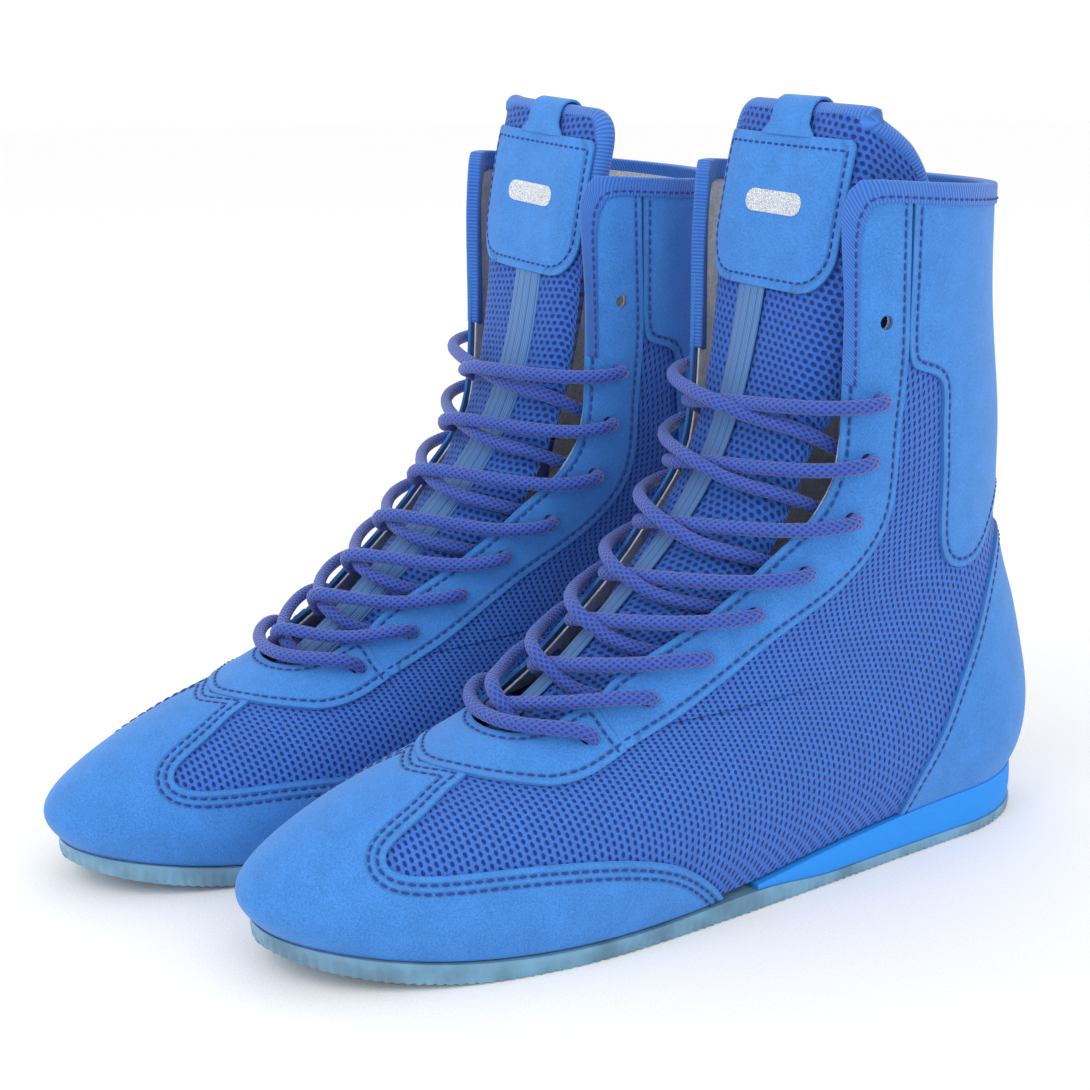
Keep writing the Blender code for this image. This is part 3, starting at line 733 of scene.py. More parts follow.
@dataclass
class Panel:
    """A sheet between two rails, shaped by the place function and given a thickness.

    The rails are paths in the place function's two coordinates, and depth is how far the
    sheet's inner and outer faces lie out of the last, in mm. Steady is the span of the first
    coordinate over which the cloth is laid unbroken, where a rail jumps.
    """

    name: str
    rails: tuple[np.ndarray, np.ndarray]
    across: int
    depth: Pair
    place: Place
    seams: Sequence[np.ndarray] = ()
    holes: Sequence[Pair] = ()
    hole_radius: float = 2.5
    rim: float = 0.45
    relief: Callable[[np.ndarray, np.ndarray], np.ndarray] | None = None
    steady: Pair | None = None

    def lengths(self, grid: np.ndarray) -> tuple[np.ndarray, np.ndarray]:
        """The running lengths across and up a grid of points, from its middle column."""
        steps = np.linalg.norm(np.diff(grid, axis=1), axis=2)
        across = np.concatenate([np.zeros((len(grid), 1)), np.cumsum(steps, axis=1)], 1)
        rise = np.linalg.norm(np.diff(grid, axis=0), axis=2)
        up = np.concatenate([np.zeros((1, grid.shape[1])), np.cumsum(rise, axis=0)], 0)
        return across - across[:, [self.across // 2]], up

    def cloth(self, grid: np.ndarray, flat: np.ndarray) -> tuple[np.ndarray, np.ndarray]:
        """Where the cloth lies on the sheet, unbroken where a rail jumps if it is steady.

        Args:
            grid: the sheet's points, row by row.
            flat: their two coordinates.

        Returns:
            The lengths across and up the cloth at each of them.
        """
        if self.steady is None:
            return self.lengths(grid)
        span = np.linspace(*self.steady, self.across + 1)
        a, b = np.meshgrid(span, flat[:, 0, 1])
        whole = self.place(a.ravel(), b.ravel(), np.zeros(a.size)).reshape(grid.shape)
        return tuple(np.stack([np.interp(row[:, 0], span, length)
                               for row, length in zip(flat, table)])
                     for table in self.lengths(whole))

    def sheet(self) -> tuple[bmesh.types.BMesh, dict[str, object]]:
        """The flat sheet, with its two coordinates kept on every vertex."""
        count = len(self.rails[0]) - 1
        bm = bmesh.new()
        layers = {key: bm.verts.layers.float.new(key) for key in
                  ("a", "b", "cloth_x", "cloth_y", "edge_mm")}
        bmesh.ops.create_grid(bm, x_segments=self.across, y_segments=count, size=0.5)
        bm.verts.ensure_lookup_table()
        s = np.array([round((vert.co.x + 0.5) * self.across) for vert in bm.verts])
        t = np.array([round((vert.co.y + 0.5) * count) for vert in bm.verts])
        share = s / self.across
        flat = self.rails[0][t] * (1 - share)[:, None] + self.rails[1][t] * share[:, None]
        grid = np.zeros((count + 1, self.across + 1, 3))
        points = self.place(flat[:, 0], flat[:, 1], np.zeros(len(flat)))
        grid[t, s] = points
        places = np.zeros((count + 1, self.across + 1, 2))
        places[t, s] = flat
        cloth_x, cloth_y = self.cloth(grid, places)
        edge = np.full(len(flat), 50.0)
        for seam in self.seams:
            line = self.place(seam[:, 0], seam[:, 1], np.zeros(len(seam)))
            gap = np.linalg.norm(points[:, None] - line[None], axis=2).min(1)
            edge = np.minimum(edge, gap)
        for i, vert in enumerate(bm.verts):
            vert[layers["a"]], vert[layers["b"]] = flat[i]
            vert[layers["cloth_x"]] = cloth_x[t[i], s[i]]
            vert[layers["cloth_y"]] = cloth_y[t[i], s[i]]
            vert[layers["edge_mm"]] = edge[i]
        return bm, layers

    def punch(self, bm: bmesh.types.BMesh, layers: dict[str, object]) -> None:
        """Cut round holes, on a sheet that is made finer near each one first."""
        for hole in self.holes:
            middle = self.place(np.array([hole[0]]), np.array([hole[1]]), np.zeros(1))[0]
            for reach, cuts in ((3.2, 2), (1.8, 1)):
                gaps = self.gaps(bm, bm.edges, layers, middle)
                near = [e for e, gap in zip(bm.edges, gaps) if gap < reach * self.hole_radius]
                bmesh.ops.subdivide_edges(bm, edges=near, cuts=cuts, use_grid_fill=True)
            gaps = self.gaps(bm, bm.faces, layers, middle)
            inner = [f for f, gap in zip(bm.faces, gaps) if gap < self.hole_radius]
            bmesh.ops.delete(bm, geom=inner, context="FACES")

    def gaps(self, bm: bmesh.types.BMesh, items: Sequence, layers: dict[str, object],
             middle: np.ndarray) -> np.ndarray:
        """How far the middle of each edge or face is from a point, in mm."""
        bm.verts.index_update()
        a = np.array([vert[layers["a"]] for vert in bm.verts])
        b = np.array([vert[layers["b"]] for vert in bm.verts])
        gap = self.place(a, b, np.zeros(len(a))) - middle
        return np.array([np.linalg.norm(gap[[v.index for v in item.verts]].mean(0))
                         for item in items])

    def build(self, boot: Boot, finish: Finish, closed: bool = False) -> bpy.types.Object:
        """Make the piece where the boot stands.

        Args:
            boot: the boot.
            finish: the piece's finish.
            closed: merge points that meet, where the sheet closes on itself.

        Returns:
            The piece.
        """
        bm, layers = self.sheet()
        if self.holes:
            self.punch(bm, layers)
        self.wrap(bm, layers)
        made = bmesh.ops.extrude_face_region(bm, geom=bm.faces[:], use_keep_orig=True)
        inner = {item for item in made["geom"] if isinstance(item, bmesh.types.BMVert)}
        a = np.array([vert[layers["a"]] for vert in bm.verts])
        b = np.array([vert[layers["b"]] for vert in bm.verts])
        outer = np.array([vert not in inner for vert in bm.verts])
        out = np.where(outer, self.depth[1], self.depth[0])
        if self.relief is not None:
            out = out + self.relief(a, b)
        points = boot.stand(self.place(a, b, out))
        for vert, point in zip(bm.verts, points):
            vert.co = point
        if closed:
            bmesh.ops.remove_doubles(bm, verts=bm.verts, dist=0.00002)
        piece = make_object(f"{boot.name}_{self.name}", bm, finish)
        if self.rim:
            round_edges(piece, self.rim)
        return piece

    def wrap(self, bm: bmesh.types.BMesh, layers: dict[str, object]) -> None:
        """Lay the cloth's own directions over the sheet as a UV map."""
        cloth = bm.loops.layers.uv.new("cloth")
        x, y = layers["cloth_x"], layers["cloth_y"]
        for face in bm.faces:
            for loop in face.loops:
                loop[cloth].uv = (loop.vert[x], loop.vert[y])


@dataclass
class Tube:
    """A round cord along a path, in mm of the left boot."""

    name: str
    path: np.ndarray
    radius: float
    sides: int = 14
    flat: float = 1.0

    def frames(self) -> tuple[np.ndarray, np.ndarray]:
        """Two directions across the path at each point, carried along without a twist."""
        run = np.gradient(self.path, axis=0)
        run = run / np.linalg.norm(run, axis=1, keepdims=True)
        first = np.cross(run[0], (0.0, 0.0, 1.0))
        one = [first / np.linalg.norm(first)]
        for way in run[1:]:
            held = one[-1] - way * np.dot(one[-1], way)
            one.append(held / np.linalg.norm(held))
        return np.array(one), np.cross(run, np.array(one))

    def build(self, boot: Boot, finish: Finish) -> bpy.types.Object:
        """Make the cord where the boot stands."""
        count = len(self.path) - 1
        one, two = self.frames()
        run = spread(self.path)
        bm = bmesh.new()
        bmesh.ops.create_grid(bm, x_segments=self.sides, y_segments=count, size=0.5)
        cloth = bm.loops.layers.uv.new("cloth")
        for face in bm.faces:
            for loop in face.loops:
                t = round((loop.vert.co.y + 0.5) * count)
                loop[cloth].uv = (run[t], loop.vert.co.x + 0.5)
        s = np.array([vert.co.x + 0.5 for vert in bm.verts]) * 2 * math.pi
        t = np.array([round((vert.co.y + 0.5) * count) for vert in bm.verts])
        ring = one[t] * np.cos(s)[:, None] + two[t] * (np.sin(s) * self.flat)[:, None]
        for vert, point in zip(bm.verts, boot.stand(self.path[t] + ring * self.radius)):
            vert.co = point
        bmesh.ops.remove_doubles(bm, verts=bm.verts, dist=0.00001)
        bmesh.ops.holes_fill(bm, edges=[e for e in bm.edges if e.is_boundary], sides=0)
        return make_object(f"{boot.name}_{self.name}", bm, finish, 60)


@dataclass
class Seam:
    """A row of stitches along a path."""

    name: str
    pitch: float = 3.3
    length: float = 2.5
    radius: float = 0.42
    paths: list[np.ndarray] = field(default_factory=list)

    def add(self, path: np.ndarray) -> None:
        """Add a row, as its points in mm."""
        self.paths.append(path)

    def row(self, boot: Boot, path: np.ndarray) -> bmesh.types.BMesh:
        """Make the stitches of one row."""
        bm = bmesh.new()
        shape = Matrix.Diagonal((self.radius, self.radius, self.length / 2, 1 / MM)) * MM
        run = spread(path)
        count = max(int(run[-1] / self.pitch), 1)
        for i in range(count):
            middle = (i + 0.5) * run[-1] / count
            ends = [np.array([np.interp(middle + way * self.length / 2, run, path[:, k])
                              for k in range(3)]) for way in (-1, 1)]
            ends = [Vector(boot.stand(end)) for end in ends]
            turn = (ends[1] - ends[0]).to_track_quat("Z", "Y").to_matrix().to_4x4()
            there = Matrix.Translation((ends[0] + ends[1]) / 2) @ turn @ shape
            bmesh.ops.create_uvsphere(bm, u_segments=6, v_segments=5, radius=1, matrix=there)
        return bm

    def build(self, boot: Boot) -> bpy.types.Object:
        """Make all the stitches as one piece."""
        bm = bmesh.new()
        for path in self.paths:
            row = bpy.data.meshes.new("row")
            stitches = self.row(boot, path)
            stitches.to_mesh(row)
            stitches.free()
            bm.from_mesh(row)
            bpy.data.meshes.remove(row)
        return make_object(f"{boot.name}_{self.name}", bm, THREAD, 80)


# --------------------------------------------------------------------------- sub-assemblies


@dataclass
class Sole:
    """Ribbed outsole, foam wedge, lasting board and sock liner."""

    boot: Boot
    proud: float = 2.6
    heel: float = 4.0
    lift_from: float = -225.0
    lift: float = 10.5
    lift_run: float = 70.0
    wedge_from: float = -140.0
    tooth: float = 3.1
    tooth_depth: float = 0.55
    rows: int = 420

    def outsole_low(self, y: np.ndarray) -> np.ndarray:
        """Flat from the ball to the heel, rising under the toe."""
        return self.lift * np.clip((self.lift_from - y) / self.lift_run, 0, 2) ** 2

    def outsole_high(self, y: np.ndarray) -> np.ndarray:
        """Up to the upper in front, thinner under the wedge."""
        front = self.boot.last.feather(y) - 0.5
        return front + (self.heel - front) * smoothstep(y, -160, -105)

    def edge(self, u: np.ndarray, side: int, proud: np.ndarray | float) -> np.ndarray:
        """Points of the sole's outline, proud of the last by so much."""
        last = self.boot.last
        h = 0.002
        run = last.surface(side * (u + h), 0 * u) - last.surface(side * (u - h), 0 * u)
        away = np.stack([side * run[:, 1], -side * run[:, 0], 0 * u], -1)
        away = away / np.linalg.norm(away, axis=1, keepdims=True)
        return last.surface(side * u, 0 * u) + away * np.asarray(proud)[..., None]

    def layer(self, name: str, start: float, end: float, proud: float, low: Callable,
              high: Callable, finish: Finish, teeth: float = 0.0, rows: int = 160,
              rim: float = 0.0) -> bpy.types.Object:
        """One layer of the sole.

        Args:
            name: the piece's name.
            start: the u where it starts, at the toe end.
            end: the u where it ends, at the heel.
            proud: how far it stands out of the last's edge.
            low: height of its bottom against y.
            high: height of its top against y.
            finish: its finish.
            teeth: how deep its edge is ribbed.
            rows: how many rows it has from toe to heel.
            rim: how far its edges are rounded.

        Returns:
            The piece.
        """
        across, wall = 10, 5
        bm = bmesh.new()
        key_s, key_t, key_h = (bm.verts.layers.float.new(key) for key in ("s", "t", "h"))
        bmesh.ops.create_grid(bm, x_segments=across, y_segments=rows, size=0.5)
        for vert in bm.verts:
            vert[key_s], vert[key_t] = vert.co.x + 0.5, vert.co.y + 0.5
            vert[key_h] = 1.0
        made = bmesh.ops.extrude_face_region(bm, geom=bm.faces[:], use_keep_orig=True)
        for item in made["geom"]:
            if isinstance(item, bmesh.types.BMVert):
                item[key_h] = 0.0
        upright = [e for e in bm.edges if e.verts[0][key_h] != e.verts[1][key_h]]
        bmesh.ops.subdivide_edges(bm, edges=upright, cuts=wall, use_grid_fill=True)
        s, t, h = (np.array([vert[key] for vert in bm.verts]) for key in (key_s, key_t, key_h))
        u = start + (end - start) * t
        fine = np.linspace(0, 1, 2000)
        points = []
        for side in (-1, 1):
            length = spread(self.edge(fine, side, 0.0))
            comb = np.abs((np.interp(u, fine, length) / self.tooth) % 1 - 0.5) * 2
            bite = teeth * comb * (1 - smoothstep(h, 0.55, 0.8))
            bulge = 0.35 * np.sin(h * math.pi)
            points.append(self.edge(u, side, proud - bite + bulge))
        rim_share = np.abs(2 * s - 1) ** 24
        flat = points[0] + (points[1] - points[0]) * s[:, None]
        bottom, top = low(flat[:, 1]), high(flat[:, 1])
        comb = np.abs((np.interp(u, fine, length) / self.tooth) % 1 - 0.5) * 2
        bottom = bottom + teeth * 0.8 * comb * rim_share * (h < 0.5)
        flat[:, 2] = bottom + (top - bottom) * h
        for vert, point in zip(bm.verts, self.boot.stand(flat)):
            vert.co = point
        bmesh.ops.remove_doubles(bm, verts=bm.verts, dist=0.00003)
        bmesh.ops.dissolve_degenerate(bm, edges=bm.edges, dist=0.00001)
        piece = make_object(f"{self.boot.name}_{name}", bm, finish, 50)
        if rim:
            round_edges(piece, rim)
        return piece

    def u_at_y(self, y: float) -> float:
        """The u on the sole's edge at a given y."""
        ring = self.boot.last.ring(0.0)
        along = (y - ring["front_y"]) / (ring["back_y"] - ring["front_y"])
        return float(np.arccos(1 - 2 * along) / np.pi)

    def build(self) -> None:
        """Make the sole's pieces."""
        boot, body = self.boot, self.boot.body()
        feather = boot.last.feather
        made = {
            "outsole": self.layer("ribbed_outsole", 0.002, 0.998, self.proud,
                                  self.outsole_low, self.outsole_high, SOLE_RUBBER,
                                  self.tooth_depth, self.rows),
            "midsole_wedge": self.layer("foam_wedge", self.u_at_y(self.wedge_from), 0.998,
                                        self.proud - 0.5,
                                        lambda y: self.outsole_high(y) + 0.15,
                                        lambda y: feather(y) + 0.2, WEDGE_FOAM),
            "lasting_board": self.layer("inner_board", 0.06, 0.965, -4.4,
                                        lambda y: feather(y) + 0.4,
                                        lambda y: feather(y) + 1.9, BOARD, rows=60),
            "sock_liner": self.layer("sock", 0.06, 0.965, -4.4,
                                     lambda y: feather(y) + 2.1,
                                     lambda y: feather(y) + 5.3, SOCK_CLOTH, rows=80,
                                     rim=0.8)}
        slots = {"outsole": "sole_rubber", "midsole_wedge": "wedge_foam",
                 "lasting_board": "board", "sock_liner": "sock_foam"}
        for node, piece in made.items():
            settle(piece, body, slots[node], f"{boot.name}_{node}")


def settle(piece: bpy.types.Object, body: str, slot: str, *nodes: str) -> bpy.types.Object:
    """Make a piece ride on a body and stand for CAD nodes."""
    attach(piece, body)
    if nodes:
        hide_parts(*nodes)
    log.info("%s rides on %s", piece.name, body)
    return piece


@dataclass
class Upper:
    """Mesh sides, suede overlays, stiffeners, padding and lining."""

    boot: Boot
    fabric: Pair = (-0.9, 0.0)
    overlay: Pair = (0.05, 1.25)
    upper_overlay: Pair = (0.25, 1.65)
    stiffener: Pair = (-2.4, -1.5)
    padding: Pair = (-4.0, -1.5)
    lining_thick: float = 0.7
    collar_v: float = 0.972
    sole_v: float = 0.010
    mesh_front: ClassVar = ((0, .002), (.368, .002), (.376, .13), (.382, .235), (.428, .285),
                            (.476, .31), (.526, .34), (.572, .37), (.635, .395), (.707, .37),
                            (.773, .36), (.849, .35), (1.0, .32))
    facing_inner: ClassVar = ((.168, .424), (.157, .455), (.186, .493), (.216, .526),
                              (.234, .559), (.247, .597), (.270, .639), (.273, .682),
                              (.245, .745), (.222, .790), (.190, .86), (.160, .93),
                              (.160, .985))
    facing_outer: ClassVar = ((.292, .338), (.321, .414), (.358, .48), (.400, .521),
                              (.430, .557), (.441, .619), (.398, .729), (.386, .809),
                              (.375, .862), (.341, .985))
    eyelets: ClassVar = ((.217, .372), (.240, .428), (.272, .476), (.297, .526),
                         (.330, .572), (.353, .635), (.331, .707), (.322, .773),
                         (.310, .849))
    toe_top: ClassVar = ((.478, .010), (.470, .044), (.442, .094), (.395, .128), (.346, .143),
                         (.282, .149), (.212, .147), (.176, .157), (.156, .180),
                         (.151, .203), (.146, .245), (.130, .285), (.118, .312), (0, .314))
    eyestay_low: ClassVar = ((0, .316), (.086, .315), (.158, .304), (.233, .285),
                             (.262, .279), (.285, .288), (.293, .312), (.294, .335))
    eyestay_high: ClassVar = ((0, .381), (.084, .381), (.122, .387), (.138, .402),
                              (.150, .420), (.166, .424), (.268, .359), (.294, .335))
    ankle_low: ClassVar = ((.351, .985), (.375, .875), (.392, .815), (.412, .805),
                           (.465, .799), (.492, .787), (.503, .750), (.519, .707),
                           (.555, .627), (.604, .555), (.648, .532), (.694, .541),
                           (.771, .604), (.850, .625), (1.0, .640))
    counter_top: ClassVar = ((.658, .006), (.667, .086), (.679, .147), (.692, .255),
                             (.718, .432), (.757, .514), (.800, .548), (.900, .562),
                             (1.0, .565))

    def both_ways(self, outline: Sequence[Pair], count: int = 400) -> np.ndarray:
        """A lateral outline that ends at the centre, carried on to the medial side."""
        half = through(outline, count)
        other = half[::-1].copy()
        other[:, 0] = 2 * half[-1, 0] - other[:, 0]
        return chain(2 * count, half, other[1:])

    def panel(self, name: str, rails: tuple[np.ndarray, np.ndarray], across: int,
              depth: Pair, seams: Sequence[np.ndarray] = (), **more: object) -> Panel:
        """A panel on this boot's last."""
        return Panel(name, rails, across, depth, self.boot.last.layer, seams, **more)

    def stitch(self, seam: Seam, outline: np.ndarray, gap: float, side: int,
               out: float) -> None:
        """Add a row of stitches inside an outline."""
        path = self.boot.last.inset(outline, gap, side)
        if len(path) > 8:
            fine = evenly(path, 400)
            seam.add(self.boot.last.layer(fine[:, 0], fine[:, 1], out))

    def shell(self) -> None:
        """The mesh skin, from one facing round the heel to the other."""
        rows = np.linspace(self.sole_v, self.collar_v, 110)
        front = np.interp(rows, *np.array(self.mesh_front).T)
        rails = (np.stack([front, rows], -1), np.stack([2 - front, rows], -1))
        piece = self.panel("mesh_shell", rails, 230, self.fabric, rim=0.0,
                           steady=(0.004, 1.996)).build(
            self.boot, SIDE_MESH)
        name = self.boot.name
        settle(piece, self.boot.body(), "upper_mesh", f"{name}_mesh_lateral",
               f"{name}_mesh_medial")

    def lining_depth(self, u: np.ndarray, v: np.ndarray) -> np.ndarray:
        """How far the lining's face lies out of the last, padded round the collar."""
        u = np.where(u > 1, 2 - u, u)
        sink = smoothstep(u, 0.42, 0.52) * 3.25
        swell = smoothstep(u, 0.45, 0.6) * smoothstep(v, 0.6, 0.72)
        swell = swell * (1 - smoothstep(v, 0.88, 0.975)) * 1.8
        tight = smoothstep(v, 0.93, 0.985) * 2.0 * smoothstep(u, 0.42, 0.52)
        return -1.3 - sink - swell + tight

    def lining(self) -> None:
        """The felt lining."""
        rows = np.linspace(.36, .985, 90)
        edge = np.where(rows < .422, .140, np.interp(
            rows, [p[1] for p in self.facing_inner], [p[0] for p in self.facing_inner]))
        edge = edge + 0.006
        rails = (np.stack([edge, rows], -1), np.stack([2 - edge, rows], -1))
        made = self.panel("felt_lining", rails, 170, (-self.lining_thick, 0.0), rim=0.2,
                          holes=((.310, .849), (1.690, .849)), hole_radius=2.6,
                          relief=self.lining_depth).build(self.boot, FELT)
        name = self.boot.name
        settle(made, self.boot.body(), "lining_felt", f"{name}_lining_lateral",
               f"{name}_lining_medial")

    def hidden(self) -> None:
        """Toe puff, heel stiffener and collar padding, between the skins."""
        name, body = self.boot.name, self.boot.body()
        puff = self.both_ways(((-.30, .168), (-.15, .184), (0, .19)), 40)
        base = np.stack([puff[:, 0], 0 * puff[:, 0] + .03], -1)
        piece = self.panel("puff_sheet", (base, puff), 16, self.stiffener).build(
            self.boot, STIFF_SHEET)
        settle(piece, body, "stiffener_board", f"{name}_toe_puff")
        high = self.both_ways(((.61, .28), (.75, .385), (.88, .443), (1.0, .46)), 50)
        base = np.stack([high[:, 0], 0 * high[:, 0] + .06], -1)
        piece = self.panel("heel_sheet", (base, high), 40, self.stiffener).build(
            self.boot, STIFF_SHEET)
        settle(piece, body, "stiffener_board", f"{name}_heel_stiffener")
        turn = np.linspace(.56, 1.44, 90)
        rails = (np.stack([turn, 0 * turn + .585], -1), np.stack([turn, 0 * turn + .955], -1))
        piece = self.panel("collar_pad", rails, 40, self.padding, rim=0.9).build(
            self.boot, PAD_FOAM)
        settle(piece, body, "collar_foam", f"{name}_collar_padding")

    def facings(self, seam: Seam) -> None:
        """The two eyelet facings, with their holes."""
        for side in Side:
            way = np.array([side.value, 1])
            inner = through(self.facing_inner, 140) * way
            outer = through(self.facing_outer, 140) * way
            holes = [(side.value * u, v) for u, v in self.eyelets]
            piece = self.panel(f"facing_{side.name.lower()}_suede", (inner, outer), 22,
                               self.overlay, (inner[4:], outer[4:]), holes=holes,
                               hole_radius=2.3).build(self.boot, EDGED_SUEDE)
            settle(piece, self.boot.body(), "upper_suede",
                   f"{self.boot.name}_facing_{side.name.lower()}")
            self.stitch(seam, inner[:118], 2.6, -side.value, self.overlay[1] + 0.05)
            self.stitch(seam, outer, 2.6, side.value, self.overlay[1] + 0.05)

    def throat(self, seam: Seam) -> None:
        """The U at the bottom of the lacing."""
        low = self.both_ways([(-u, v) for u, v in self.eyestay_low[::-1]], 120)
        high = self.both_ways([(-u, v) for u, v in self.eyestay_high[::-1]], 120)
        holes = [(side.value * self.eyelets[0][0], self.eyelets[0][1]) for side in Side]
        piece = self.panel("throat_suede", (low, high), 14, self.upper_overlay,
                           (low, high), holes=holes, hole_radius=2.3).build(
                               self.boot, EDGED_SUEDE)
        settle(piece, self.boot.body(), "upper_suede", f"{self.boot.name}_throat_eyestay")
        self.stitch(seam, low, 2.6, 1, self.upper_overlay[1] + 0.05)
        self.stitch(seam, high, 2.6, -1, self.upper_overlay[1] + 0.05)

    def toe_cap(self, seam: Seam) -> None:
        """The toe piece, with the strip up its middle and its wings."""
        high = self.both_ways([(-u, v) for u, v in self.toe_top], 200)
        base = np.stack([high[:, 0], 0 * high[:, 0] + self.sole_v - 0.006], -1)
        piece = self.panel("toe_cap_suede", (base, high), 40, self.overlay, (high,)).build(
            self.boot, DOUBLE_SUEDE)
        settle(piece, self.boot.body(), "upper_suede", f"{self.boot.name}_toe_cap")
        for gap in (2.6, 5.2):
            self.stitch(seam, high, gap, -1, self.overlay[1] + 0.05)

    def heel(self, seam: Seam) -> None:
        """The heel counter."""
        high = self.both_ways(self.counter_top, 160)
        base = np.stack([high[:, 0], 0 * high[:, 0] + self.sole_v - 0.006], -1)
        piece = self.panel("counter_suede", (base, high), 44, self.overlay, (high,)).build(
            self.boot, EDGED_SUEDE)
        settle(piece, self.boot.body(), "upper_suede", f"{self.boot.name}_heel_counter")
        self.stitch(seam, high, 2.6, -1, self.overlay[1] + 0.05)

    def ankle(self, seam: Seam) -> None:
        """The suede round the shaft, in one run behind the ankle."""
        low = self.both_ways(self.ankle_low, 220)
        high = np.stack([low[:, 0], 0 * low[:, 0] + .985], -1)
        piece = self.panel("shaft_suede", (low, high), 46, self.overlay, (low,)).build(
            self.boot, EDGED_SUEDE)
        name = self.boot.name
        settle(piece, self.boot.body(), "upper_suede", f"{name}_ankle_panel_lateral",
               f"{name}_ankle_panel_medial")
        self.stitch(seam, low, 2.6, 1, self.overlay[1] + 0.05)

    def build(self) -> None:
        """Make the upper's pieces and sew them."""
        seam = Seam("upper_stitches")
        self.shell()
        self.lining()
        self.hidden()
        self.facings(seam)
        self.throat(seam)
        self.toe_cap(seam)
        self.heel(seam)
        self.ankle(seam)
        settle(seam.build(self.boot), self.boot.body(), "")


@dataclass
class Collar:
    """The tape folded over the collar's edge."""

    boot: Boot
    depth: Pair = (-3.0, 2.0)
    outer: ClassVar = ((.226, .787), (.190, .86), (.154, .925), (.139, .960), (.148, .985),
                       (.175, .998), (.24, 1.0), (.45, 1.0), (.7, 1.0), (1.0, 1.0))
    inner: ClassVar = ((.262, .785), (.230, .86), (.205, .925), (.205, .952), (.222, .970),
                       (.26, .975), (.30, .976), (.47, .976), (.7, .976), (1.0, .976))

    def build(self) -> None:
        """Make the tape and its row of stitches."""
        rails = []
        for outline in (self.outer, self.inner):
            half = evenly(through(outline, 200, False), 200)
            other = half[::-1].copy()
            other[:, 0] = 2 - other[:, 0]
            rails.append(np.concatenate([half, other[1:]]))
        piece = Panel("collar_tape", (rails[0], rails[1]), 4, self.depth,
                      self.boot.last.layer, rim=1.3).build(self.boot, TAPE)
        piece.modifiers["rounded"].segments = 4
        settle(piece, self.boot.body(), "binding_tape", f"{self.boot.name}_collar_binding")
        seam = Seam("collar_stitches", pitch=3.0, length=2.2)
        row = rails[0] * 0.28 + rails[1] * 0.72
        seam.add(self.boot.last.layer(row[:, 0], row[:, 1], self.depth[1] + 0.05))
        settle(seam.build(self.boot), self.boot.body(), "")


